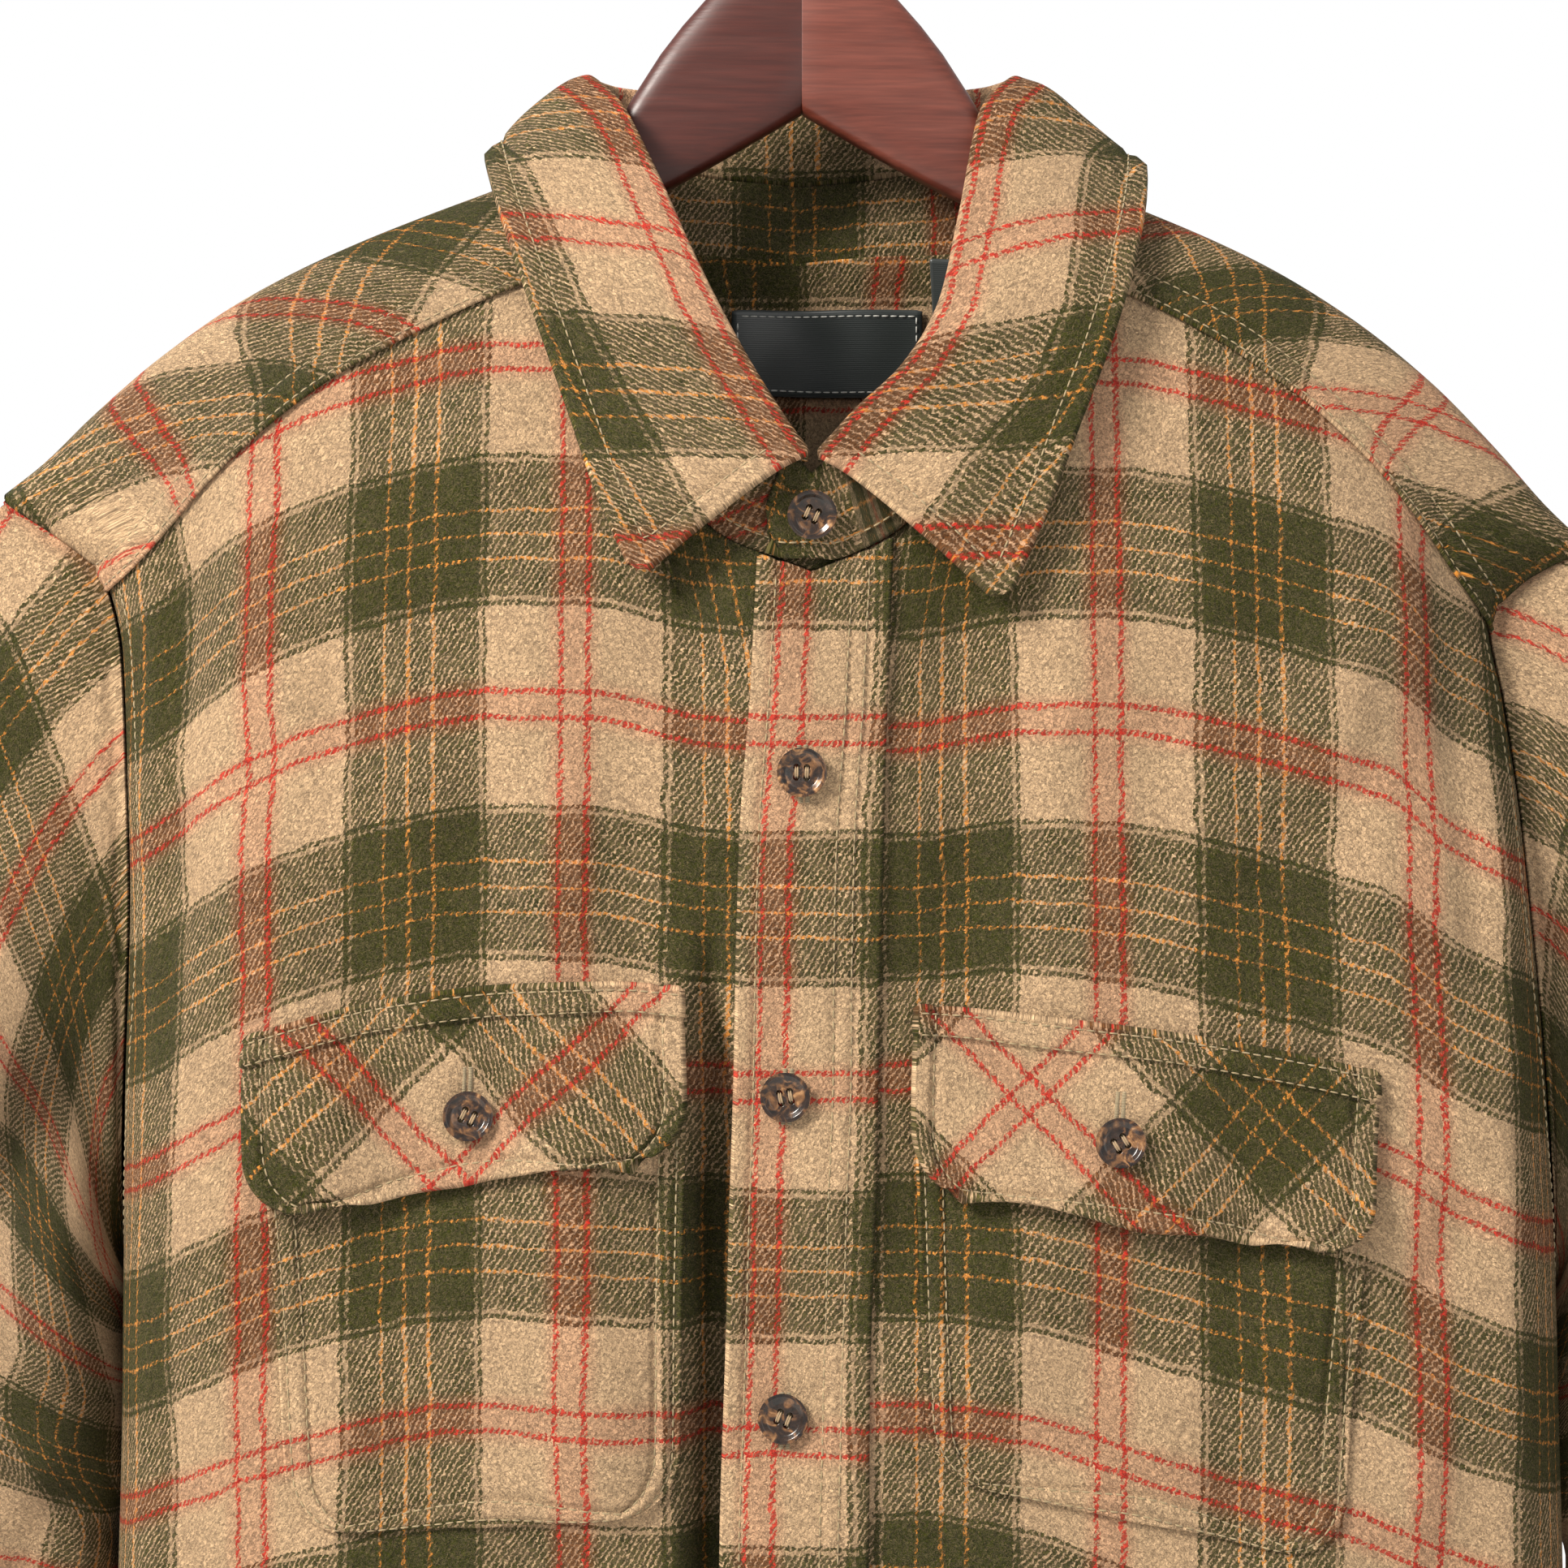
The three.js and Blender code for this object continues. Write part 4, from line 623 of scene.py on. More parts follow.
def front_panel(side):
    chest = np.array([*(RIGHT_FRONT_SHARES if side == RIGHT else LEFT_FRONT_SHARES), *SHOULDER_SHARES])
    per = 6
    at = np.array(FRONT_NECK_STEPS, float)
    at[-1] = FRONT_NECK_LAP
    edge_drop = float(neck_drop(0))
    at_fine = spread(at, (len(at) - 1) * per + 1)
    share, drop, _ = neck_place(side, at_fine)
    edge_x = RIGHT_FRONT_EDGE if side == RIGHT else LEFT_FRONT_EDGE
    edge_share = float(share_at(side, FRONT, edge_x, edge_drop))
    if side == RIGHT:
        lead = np.linspace(0, 1, per + 1)[:-1]
        share = np.concatenate([mix(edge_share, share[0], lead), share])
        drop = np.concatenate([np.full(per, edge_drop), drop])
        knots = len(at) + 1
    else:
        blend = np.clip(np.arange(len(share)) / per, 0, 1)
        share = np.where(blend < 1, mix(edge_share, share[per], blend), share)
        drop = np.where(blend < 1, mix(float(neck_drop(0.04)), drop[per], blend), drop)
        knots = len(at)
    step = np.linspace(0, 1, per + 1)[1:]
    first_shoulder = float(yoke_front_drop(side, SHOULDER_SHARES[0])) - YOKE_LAP
    share = np.concatenate([share, mix(share[-1], SHOULDER_SHARES[0], step)])
    drop = np.concatenate([drop, mix(drop[-1], first_shoulder, step)])
    fine = spread(SHOULDER_SHARES, (len(SHOULDER_SHARES) - 1) * per + 1)[1:]
    share = np.concatenate([share, fine])
    drop = np.concatenate([drop, yoke_front_drop(side, fine) - YOKE_LAP])
    chest_fine = spread(chest, len(share))
    under_yoke = np.arange(len(share)) >= (knots - 1) * per
    v = np.concatenate([np.linspace(0, 0.03, 8)[:-1], np.linspace(0.03, 1, 165)])[:, None]
    bottom = hem_drop(side, FRONT, chest_fine)
    shares = mix(share, chest_fine, smooth(0, 0.14, v))
    points = body_point(side, FRONT, shares, mix(drop, bottom, v))
    tuck = -TUCK * under_yoke * smooth(0.012, 0, v)
    if side == RIGHT:
        points, tuck = points[:, ::-1], tuck[:, ::-1]
    uv = front_place(side, points)
    hem = hem_press(v, 762)
    return points, tuck + hem, tuck - CLOTH, uv


WEFT_MIDDLE = (WEFT_OLIVE + WEFT_REPEAT) / 2  # where the red pair lies in the weft's repeat
WARP_MIDDLE = (WARP_OLIVE + WARP_REPEAT) / 2  # where the red pair lies in the warp's repeat


def hem_press(v, length):
    """The hem is turned up twice: a raised band with a pressed stitch line above it."""
    from_hem = (1 - v) * length
    return 0.5 * smooth(11, 8.5, from_hem) - 0.45 * np.exp(-((from_hem - HEM_LINE) / 1.3) ** 2)


def make_front(side):
    name = "front_right" if side == RIGHT else "front_left"
    points, out, inn, uv = front_panel(side)
    material = flannel_material()
    return sheet(name, points, out, inn, uv, material)


def shoulder_fan(share):
    return mix(NECK_FAN, 1, (share - NECK_SHARE) / (1 - NECK_SHARE))


def back_shares():
    neck = NECK_FAN * ((1 - np.array(YOKE_NECK_STEPS[::-1])) / (1 - NECK_POINT))
    return np.concatenate([neck, shoulder_fan(np.array(SHOULDER_SHARES))])


def make_back():
    half = spread(back_shares(), 64)
    share = np.concatenate([half[::-1], half[1:]])
    side = np.concatenate([np.full(len(half), LEFT), np.full(len(half) - 1, RIGHT)])
    v = np.concatenate([np.linspace(0, 0.04, 8)[:-1], np.linspace(0.04, 1, 125)])[:, None]
    top = yoke_back_drop(share) - YOKE_LAP
    bottom = np.where(side < 0, hem_drop(RIGHT, BACK, share), hem_drop(LEFT, BACK, share))
    points = body_point(side, BACK, share + 0 * v, mix(top, bottom, v))
    tuck = -TUCK * smooth(0.014, 0, v) + 0 * share
    u = anchored(points, 0)
    uv = np.stack([u - 30 + WARP_MIDDLE, points[..., 2] + 301 + WEFT_MIDDLE], -1)
    sheet("back", points, tuck + hem_press(v, 694), tuck - CLOTH, uv, flannel_material(),
          nodes=("back_upper", "back_lower"))


def make_yoke():
    neck_at = spread(YOKE_NECK_STEPS, NECK_COLUMNS)
    to_back = back_shares()
    shares = spread(SHOULDER_SHARES, SHOULDER_COLUMNS)
    sides, starts, from_shares, to_shares = [], [], [], []
    for side in (RIGHT, LEFT):
        n_share, n_drop, _ = neck_place(side, neck_at, NECK_CLEAR)
        n_to = spread(to_back[: len(YOKE_NECK_STEPS)][::-1], NECK_COLUMNS)
        s_drop = yoke_front_drop(side, shares)
        s_to = shoulder_fan(shares)
        bridge = np.linspace(0, 1, 8)[1:-1]
        b_share = mix(shares[0], n_share[0], bridge)
        b_drop = mix(s_drop[0], n_drop[0], bridge)
        b_to = mix(s_to[0], n_to[0], bridge)
        share = np.concatenate([shares[::-1], b_share, n_share])
        drop = np.concatenate([s_drop[::-1], b_drop, n_drop])
        to = np.concatenate([s_to[::-1], b_to, n_to])
        if side == LEFT:
            share, drop, to = share[::-1][1:], drop[::-1][1:], to[::-1][1:]
        sides.append(np.full(len(share), side))
        from_shares.append(share)
        starts.append(drop)
        to_shares.append(to)
    side = np.concatenate(sides)
    share = np.concatenate(from_shares)
    start = np.concatenate(starts)
    to = np.concatenate(to_shares)
    end = -yoke_back_drop(to)
    knots = np.arange(len(YOKE_ROWS["on"]))
    parts = (np.linspace(0, 1, 14)[:-1], np.linspace(1, 8, 36)[:-1], np.linspace(8, 10, 30))
    fine = np.concatenate(parts)[:, None]
    drops = []
    for k in knots:
        before, on, behind = (YOKE_ROWS[key][k] for key in ("before", "on", "behind"))
        ahead = start * before if before >= 0 else (before if before < -1 else -end * before)
        middle = end * on
        after = mix(start, end, behind)
        in_front = mix(middle, ahead, np.clip(start / 26, 0, 1))
        row = np.where(start > 0, in_front, mix(middle, after, np.clip(start / -20, 0, 1)))
        drops.append(row)
    drops = np.array(drops)
    here = np.array([np.interp(fine[:, 0], knots, drops[:, c]) for c in range(len(start))]).T
    across = mix(share, to, (start - here) / (start - end))
    face = np.where(here < 0, BACK, FRONT)
    points = body_point(side, face, across, np.abs(here))
    # The cloth's own place: the back's grain runs on over the shoulder line and down in front.
    ridge = np.abs(here).argmin(0)
    run = lengths(points, 0)
    past = run - run[ridge, np.arange(len(start))]
    x = points[ridge, np.arange(len(start)), 0]
    ridge_z = points[ridge, np.arange(len(start)), 2]
    slope = np.arctan(np.abs(np.gradient(ridge_z, x)))
    ahead = np.maximum(0, -past)
    back = np.maximum(0, past)
    u = np.where(points[..., 0] < 0, 0.87, 1) * x + side * ahead * np.sin(2 * slope)
    w = ridge_z + ahead * np.cos(2 * slope) - back
    uv = np.stack([u - 30 + WARP_MIDDLE, w + 199 + WEFT_MIDDLE], -1)
    seam_run = run[-1] - run
    at_front = start > 20
    press = stitch_press(np.where(at_front, run, 99), YOKE_FRONT_LINES) + stitch_press(seam_run, YOKE_BACK_LINES)
    band = 0.35 * np.where(at_front, smooth(9.5, 8, run), 0) + 0.25 * smooth(8, 6.5, seam_run)
    points, press, band, uv = points[::-1], press[::-1], band[::-1], uv[::-1]
    out = SEAM + CLOTH + press + band
    sheet("yoke", points, out, SEAM, uv, flannel_material())


def stitch_press(distance, lines, depth=0.8, width=1.3):
    """How far stitch lines at these distances press the cloth in."""
    return -sum(depth * np.exp(-(((distance - line) / width) ** 2)) for line in lines)


# The collar

def collar_lines(rows):
    return {
        key: (lambda fs: lambda at: np.stack([f(at) for f in fs], -1))(
            [follow(rows, "at", key + axis) for axis in "XYZ"]
        )
        for key in ("head", "roll", "edge")
    }


COLLAR = {RIGHT: collar_lines(COLLAR_RIGHT), LEFT: collar_lines(COLLAR_LEFT)}


def collar_place(place):
    side = np.where(place < 0, RIGHT, LEFT)
    at = 1 - np.abs(place)
    return np.where(at >= 0, side, -side), np.abs(at)


def collar_point(key, side, at):
    return np.where((side < 0)[..., None], COLLAR[RIGHT][key](at), COLLAR[LEFT][key](at))


def stand_point(place, up):
    place = np.asarray(place, float)
    side, at = collar_place(place)
    share, drop, face = neck_place(side, at)
    foot = body_point(side, face, share, np.abs(drop))
    head = collar_point("head", side, at)
    into_cloth = mix(-CLOTH / 2, SEAM + CLOTH / 2, smooth(0.5, 0.62, at))
    foot[..., 1] -= face * into_cloth
    foot = foot + 3 * SEAM * unit(head - foot)
    point = mix(foot, head, np.asarray(up)[..., None])
    apart = (DOUBLED / 2 + SEAM) * smooth(LAP_START, STAND_LAP + 0.01, 1 - np.abs(place))
    point[..., 1] -= np.sign(place) * apart
    return point


def collar_places(lap):
    """Places round the collar from the wearer's left front end to the right one, seen from outside."""
    from_front = np.interp(np.linspace(0, 1, 130), [0, 0.12, 1], [0, 0.045, 1])
    half = np.concatenate([np.linspace(-lap, 0, 24)[:-1] if lap else [], from_front])
    right = half - 1
    left = (1 - half)[::-1][1:]
    return np.concatenate([right, left])[::-1]


def make_stand():
    places = collar_places(STAND_LAP)
    up = np.linspace(1, -0.12, 29)[:, None]
    behind = smooth(0.5, 0.35, np.abs(places))
    points = stand_point(places + 0 * up, np.maximum(up, 0) + np.minimum(up, 0) * behind)
    points[..., 1] += 1.6 * behind * smooth(0.02, -0.1, up)
    level = np.exp(-(((places - 1) / 0.022) ** 2))
    points[..., 2] += 3.4 * level * smooth(0.5, 0, up)
    v = lengths(points, 0)
    v = v[-1] - v
    points = blunt_corners(points, v, lengths(points, 1), TAB_ROUND)
    u = centred_run(points, places)
    # The tab is cut from a green stretch between two pairs of red lines.
    to_green = (TAB_PLAID - (u[:, :1] + WARP_OLIVE / 2)) * smooth(0.86, 0.93, places)
    uv = np.stack([u + WARP_OLIVE / 2 + to_green, v - 14 + WEFT_OLIVE / 2], -1)
    press = stitch_press(v, (3.2,), 0.5) + stitch_press(v[0] - v, (2.5,), 0.4)
    soft = 0.4 * np.sin(u / 9.0 + 1.3 * np.sin(v / 7)) * smooth(0, 6, v)
    out = DOUBLED / 2 + press + soft
    sheet("collar_stand", points, out, soft - DOUBLED / 2 - press, uv, flannel_material())


def centred_run(points, places):
    run = lengths(points, 1)
    middle = np.abs(places).argmin()
    return -(run - run[:, middle : middle + 1])


def catmull(points, w):
    """Places on a centripetal curve through control points[k], with w from 0 to 1."""
    count = len(points)
    padded = np.concatenate([2 * points[:1] - points[1:2], points, 2 * points[-1:] - points[-2:-1]])
    p = w * (count - 1)
    k = np.minimum(p.astype(int), count - 2)
    t = (p - k)[:, None, None]
    p0, p1, p2, p3 = (padded[k + j] for j in range(4))

    def gap(a, b):
        return np.maximum(np.linalg.norm(a - b, axis=-1, keepdims=True), 1e-8) ** 0.5

    d0, d1, d2 = gap(p0, p1), gap(p1, p2), gap(p2, p3)
    t1 = ((p1 - p0) / d0 - (p2 - p0) / (d0 + d1) + (p2 - p1) / d1) * d1
    t2 = ((p2 - p1) / d1 - (p3 - p1) / (d1 + d2) + (p3 - p2) / d2) * d1
    return p1 + t1 * t + (3 * (p2 - p1) - 2 * t1 - t2) * t**2 + (2 * (p1 - p2) + t1 + t2) * t**3


def blunt_corners(points, below, along, radius):
    """Rounds the two lower corners of a sheet, given the distances to its bottom and along its rows."""
    up = -unit(np.gradient(points, axis=0))
    right = unit(np.gradient(points, axis=1))
    for distance, inward in ((along, right), (along[:, -1:] - along, -right)):
        a, b = radius - below, radius - distance
        reach = np.hypot(a, b)
        pull = np.where((a > 0) & (b > 0) & (reach > radius), 1 - radius / np.maximum(reach, radius), 0)
        points = points + (a * pull)[..., None] * up + (b * pull)[..., None] * inward
    return points


def make_fall():
    places = collar_places(0)
    side, at = collar_place(places)
    head, roll, edge = (collar_point(key, side, at) for key in ("head", "roll", "edge"))
    rising = unit(roll - head)
    band = unit(stand_point(places, np.ones_like(places)) - stand_point(places, np.zeros_like(places)))
    lean = np.hypot(rising[:, 0], rising[:, 1]) + np.hypot(band[:, 0], band[:, 1])
    outward = edge - roll
    outward[:, 2] = 0
    outward[:, 1] -= 25 * smooth(0.45, 0.1, at)
    outward = unit(outward)
    at_front = smooth(0.06, 0, at)
    start = head.copy()
    start[:, 0] = mix(head[:, 0], roll[:, 0], at_front)
    start[:, 2] += 3 * SEAM + 0.7 * DOUBLED * lean + 2.5 * at_front
    rise = mix(start, roll, 0.6)
    rise[:, 2] += 1.5
    over = mix(roll, edge, 0.12) + 2 * outward
    over[:, 2] += 0.5
    belly = mix(roll, edge, 0.5) + FALL_BULGE * outward
    w = np.concatenate([np.linspace(0, 0.96, 48)[:-1], np.linspace(0.96, 1, 18)])
    points = catmull(np.stack([start, rise, roll, over, belly, edge]), w)
    run = lengths(points, 0)
    from_edge = run[-1] - run
    from_end = lengths(points, 1)
    from_end = np.minimum(from_end, from_end[:, -1:] - from_end)
    points = blunt_corners(points, run[-1] - run, lengths(points, 1), COLLAR_TIP)
    hanging = smooth(0.42, 0.6, w)[:, None]
    edge_run = np.minimum(np.where(hanging > 0, from_edge, 99), np.where(hanging > 0, from_end, 99))
    press = stitch_press(edge_run, (COLLAR_LINE,), 1.0, 1.5) * hanging
    puff = 0.45 * smooth(7, 3.5, edge_run) * hanging
    u = centred_run(points, places) * COLLAR_STRETCH
    roll_run = run - run[np.abs(w - 0.4).argmin()]
    uv = np.stack([u + WARP_OLIVE / 2, roll_run - 5 + WEFT_MIDDLE], -1)
    pucker = 0.2 * np.sin(u / 1.9 + 2 * np.sin(u / 11)) * np.exp(-(((edge_run - 7) / 5) ** 2)) * hanging
    swell = 1.1 * np.sin(u / 13 + 2 * np.sin(roll_run / 17)) * smooth(0, 14, edge_run) * hanging
    out = DOUBLED / 2 + press + puff + pucker + swell
    sheet("collar_fall", points, out, swell - DOUBLED / 2 - 0.5 * press, uv, flannel_material())


# Sleeves and cuffs

def armhole_point(side, turn):
    drop = ARMHOLE_DEPTH * (1 - np.cos(turn)) / 2
    wrapped = np.mod(turn, 2 * math.pi)
    point = body_point(side, np.where(wrapped <= math.pi, FRONT, BACK), np.ones_like(turn), drop)
    point[..., 0] += side * 3.5 * SEAM
    return point


def sleeve_folds(side, at, turn, folds):
    degrees = np.degrees(turn)
    grow = 0
    for k in range(len(folds["side"])):
        f = {key: folds[key][k] for key in folds}
        if f["side"] != side:
            continue
        along = (at - f["start"]) / (f["end"] - f["start"])
        fade = smooth(0, 0.2, along) * smooth(1, 0.75, along)
        away = (degrees - mix(f["turn"], f["turnEnd"], np.clip(along, 0, 1))) / f["width"]
        grow = grow - f["depth"] * fade * np.exp(-away * away)
    return grow


def sleeve_point(side, at, turn, grow=None):
    at, turn = np.broadcast_arrays(np.asarray(at, float), np.asarray(turn, float))
    turn = np.mod(turn, 2 * math.pi)
    if grow is None:
        grow = sleeve_folds(side, at, turn, SLEEVE_FOLDS) + sleeve_folds(side, at, turn, SLEEVE_CREASES)
        past = (at - ELBOW_AT) / ELBOW_LENGTH
        ahead = np.maximum(0, 0.5 + 0.5 * np.sin(turn))
        swell = ELBOW_SWELL * np.exp(-((past + 1) ** 2)) - ELBOW_PINCH * np.exp(-2 * (past - 0.6) ** 2)
        grow = grow + ahead * swell
        wave = rumple(60 * np.cos(turn) + side * 500, 600 * at + 50 * np.sin(turn), 2.4)
        grow = grow + wave * smooth(0, 0.1, at) * smooth(1, 0.96, at)
    low = SLEEVE_DROP_LEFT * smooth(0, 0.2, at) if side == LEFT else 0 * at
    inner_z = sleeve_station["innerZ"](at) - low
    outer_z = sleeve_station["outerZ"](at) - low
    against = SLEEVE_REST * smooth(0.05, 0.12, at) * smooth(0.7, 0.5, at)
    inner = half_width(side, shoulder_z(side, 1) - inner_z) + sleeve_station["clearance"](at) - against
    outer = inner + sleeve_station["spread"](at)
    half = np.stack([side * (outer - inner) / 2, 0 * at, (outer_z - inner_z) / 2], -1)
    ring = np.stack([side * (outer + inner) / 2, 0 * at, (outer_z + inner_z) / 2], -1)
    size = np.maximum(40, np.linalg.norm(half, axis=-1))
    ring = ring + half * (np.cos(turn) * (1 + grow / size))[..., None]
    ring[..., 1] -= (sleeve_station["depth"](at) + grow) * np.sin(turn)
    return mix(armhole_point(side, turn), ring, smooth(0, 0.14, at)[..., None])


def sleeve_grid(side, at, columns):
    """Rings that run to the right as seen from outside and start under the arm."""
    turn = math.pi + np.linspace(0, 2 * math.pi, columns + 1)[:-1]
    if side == LEFT:
        turn = math.pi - np.linspace(0, 2 * math.pi, columns + 1)[:-1]
    return sleeve_point(side, at, turn + 0 * at), turn


def make_sleeve(side):
    name = "sleeve_right" if side == RIGHT else "sleeve_left"
    at = np.concatenate([np.linspace(0, 0.05, 14)[:-1], np.linspace(0.05, 1, 132)])[:, None]
    points, _ = sleeve_grid(side, at, 100)
    ring = np.concatenate([points, points[:, :1]], 1)
    run = lengths(ring, 1)
    middle = ring.shape[1] // 2
    u = run - run[:, middle : middle + 1]
    down = lengths(ring, 0)[:, middle : middle + 1] + 0 * u
    tilt = 14 * np.cos(u / 60)
    uv = np.stack([u * 1.0 + (WARP_MIDDLE if side == RIGHT else WARP_MIDDLE + 40), -down + tilt + 60], -1)
    seam = down[:, :-1]
    out = stitch_press(seam, (1.2,), 0.6, 1.2) + 0.4 * smooth(14, 5, seam) * smooth(0, 4, seam)
    gather = 0.9 * np.sin(u[:, :-1] / 3.4) * smooth(585, 612, seam) * smooth(300, 330, seam)
    out = out + gather * (seam > 560)
    sheet(name, points, out, out - CLOTH, uv, flannel_material(),
          closed=True, nodes=(name + "_head", name + "_arm"))


def cuff_point(side, around, down):
    around, down = np.broadcast_arrays(np.asarray(around, float), np.asarray(down, float))
    turn = CUFF_START + around * (2 * math.pi + CUFF_LAP)
    point = sleeve_point(side, np.ones_like(turn), turn, -2)
    point[..., 2] -= CUFF_GAP + down * CUFF_LENGTH
    ends = sleeve_point(side, np.ones(2), np.array([0, math.pi]), -2)
    centre = ends.mean(0)
    outward = point - centre
    outward[..., 2] = 0
    return point + unit(outward) * ((DOUBLED + 2 * SEAM) * smooth(0.72, 0.83, around))[..., None]


def make_cuff(side):
    name = "cuff_right" if side == RIGHT else "cuff_left"
    around = closer_at_ends(150, 270, 12, 0.09)
    if side == LEFT:
        around = around[::-1]
    down = closer_at_ends(40, CUFF_LENGTH, 10)[:, None]
    points = cuff_point(side, around, down)
    run = lengths(points, 1)
    v = lengths(points, 0)
    edge = np.minimum(np.minimum(v, v[-1] - v), np.minimum(run, run[:, -1:] - run))
    uv = np.stack([run + 20, -v + WEFT_MIDDLE], -1)
    out = stitch_press(edge, (CUFF_LINE,), 1.0)
    out = out + 0.2 * np.sin(run / 2.1) * np.exp(-(((edge - CUFF_LINE) / 4) ** 2))
    sheet(name, points, out, -DOUBLED - 0.5 * out, uv, flannel_material())


# Placket, pockets, flaps and labels

def neck_z(x):
    x = np.asarray(x, float)
    side = np.where(x < NECKLINE["rightX"][0], RIGHT, LEFT)
    low, high = np.zeros_like(x), np.full_like(x, 0.6)
    for _ in range(20):
        at = (low + high) / 2
        short = side * (neck_x(side, at) - x) < 0
        low, high = np.where(short, at, low), np.where(short, high, at)
    share, drop, _ = neck_place(side, low)
    return body_point(side, np.full(x.shape, FRONT), share, drop)[..., 2]


def placket_point(u, below):
    x = mix(placket_free(below), placket_sewn(below), u)
    return face_point(FRONT, x, mix(neck_z(x) - 4 * SEAM, PLACKET_HEM_Z, below), True)


def make_placket():
    below = np.linspace(0, 1, 300)[:, None]
    across = closer_at_ends(46, 40, 13, 0.42)
    points = placket_point(across + 0 * below, below + 0 * across)
    width = lengths(points, 1)
    z = points[..., 2]
    press = stitch_press(width, PLACKET_LINES, 0.9, 1.3)
    pucker = 0.17 * np.sin(z / 2.2 + 1.5 * np.sin(z / 17)) * sum(
        np.exp(-(((width - line) / 4) ** 2)) for line in (5.5, 33)
    )
    uv = np.stack([width - 11 + WARP_MIDDLE, z + 8 + 301 + WEFT_MIDDLE], -1)
    out = SEAM + DOUBLED + press + pucker
    sheet("placket", points, out, SEAM, uv, flannel_material())


def patch_point(patch, u, v, face=FRONT):
    left = np.stack([mix(patch["tlx"], patch["blx"], v), mix(patch["tlz"], patch["blz"], v)], -1)
    right = np.stack([mix(patch["trx"], patch["brx"], v), mix(patch["trz"], patch["brz"], v)], -1)
    height = patch["tlz"] - patch["blz"]
    into = np.maximum(0, v * height - (height - patch["round"]))
    inset = patch["round"] - np.sqrt(np.maximum(0, patch["round"] ** 2 - into**2))
    inset = inset / np.linalg.norm(right - left, axis=-1)
    place = mix(left, right, mix(inset, 1 - inset, u)[..., None])
    z = place[..., 1] + patch["arch"] * 4 * u * (1 - u) * (1 - v)
    return face_point(face, place[..., 0], z, face == FRONT)


def border_distance(points):
    """Distance over the patch to its sides and bottom, in millimetres."""
    run, fall = lengths(points, 1), lengths(points, 0)
    return np.minimum(np.minimum(run, run[:, -1:] - run), fall[-1] - fall), fall


def make_pocket(name):
    patch = PATCHES[name]
    u = closer_at_ends(90, 129)
    v = closer_at_ends(100, 145, 20, 0.28)[:, None]
    points = patch_point(patch, u + 0 * v, v + 0 * u)
    border, _ = border_distance(points)
    press = stitch_press(border, POCKET_LINES, 1.0, 1.3) + 0.5 * smooth(8, 6, border) * smooth(0, 3, border)
    ripple = np.sin((points[..., 0] + points[..., 2]) / 1.5)
    press = press + 0.22 * ripple * np.exp(-(((border - 5) / 3) ** 2))
    uv = front_place(RIGHT if "right" in name else LEFT, points)
    slack = 0.8 * smooth(0, 30, border)
    out = SEAM + CLOTH + press + slack
    sheet(name, points, out, SEAM + slack, uv, flannel_material())


def flap_lift(patch, v):
    return SEAM + (CLOTH + SEAM) * smooth(0, FLAP_STEP, v) + patch["lift"] * smooth(FLAP_STEP, 1, v)


FLAP_CROSSINGS = {"flap_right": (-103.9, -446), "flap_left": (69.3, -418.8)}


def make_flap(name):
    patch = PATCHES[name]
    u = closer_at_ends(112, 130)
    v = closer_at_ends(66, 52, 12, 0.3)[:, None]
    uu, vv = u + 0 * v, v + 0 * u
    points = patch_point(patch, uu, vv)
    border, fall = border_distance(points)
    press = stitch_press(border, (FLAP_LINE,), 1.2, 1.5) + stitch_press(fall, FLAP_TOP_LINES, 1.1, 1.4)
    band = 1.0 * smooth(9, 7.5, fall) + 0.5 * smooth(6, 3.5, border)
    pucker = 0.25 * np.sin((uu * 130 + vv * 52) / 1.7) * np.exp(-(((border - 6) / 3.5) ** 2))
    press = press + pucker * smooth(10, 14, fall)
    # The cloth bulges above the buttonhole, where the button pulls it down.
    du = (uu - patch["buttonU"]) * 130
    dv = (vv - (patch["buttonV"] - 0.3)) * 53
    bulge = 3.2 * np.exp(-((du / 10) ** 2) - ((dv / 8) ** 2))
    bulge = bulge - 1.2 * np.exp(-((du / 3) ** 2) - ((dv / 9) ** 2))
    pull = -1.2 * np.exp(-((du / 9) ** 2) - (((vv - patch["buttonV"]) * 53 / 10) ** 2))
    x, z = points[..., 0], points[..., 2]
    x0, z0 = FLAP_CROSSINGS[name]
    a, b = ((x - x0) + (z - z0)) / math.sqrt(2), ((z - z0) - (x - x0)) / math.sqrt(2)
    uv = np.stack([a + WARP_MIDDLE, b + WEFT_MIDDLE], -1)
    lift = flap_lift(patch, vv) + bulge * 0.9 + pull * smooth(0, 0.3, vv) * 0.4
    out = lift + DOUBLED + press + band
    sheet(name, points, out, lift, uv, flannel_material())


def make_label(name):
    patch = PATCHES[name]
    u = np.linspace(0, 1, 40)
    v = np.linspace(0, 1, 22)[:, None]
    points = patch_point(patch, u + 0 * v, v + 0 * u, BACK)[:, ::-1]
    uv = np.stack([lengths(points, 1), -lengths(points, 0)], -1)
    wave = 0.25 * np.sin(points[..., 0] / 6) * np.sin(points[..., 2] / 5)
    out = wave - 2 * SEAM
    sheet(name, points, out, out - LABEL, uv, label_material(), slot="label")


# Materials

def put(tree, kind, inputs=None, **settings):
    """A node with its inputs set or linked, by name or number."""
    node = tree.nodes.new(kind)
    for key, value in settings.items():
        setattr(node, key, value)
    for key, value in (inputs or {}).items():
        if isinstance(value, bpy.types.NodeSocket):
            tree.links.new(value, node.inputs[key])
        else:
            node.inputs[key].default_value = value
    return node


def calc(tree, operation, *values):
    return put(tree, "ShaderNodeMath", dict(enumerate(values)), operation=operation).outputs[0]


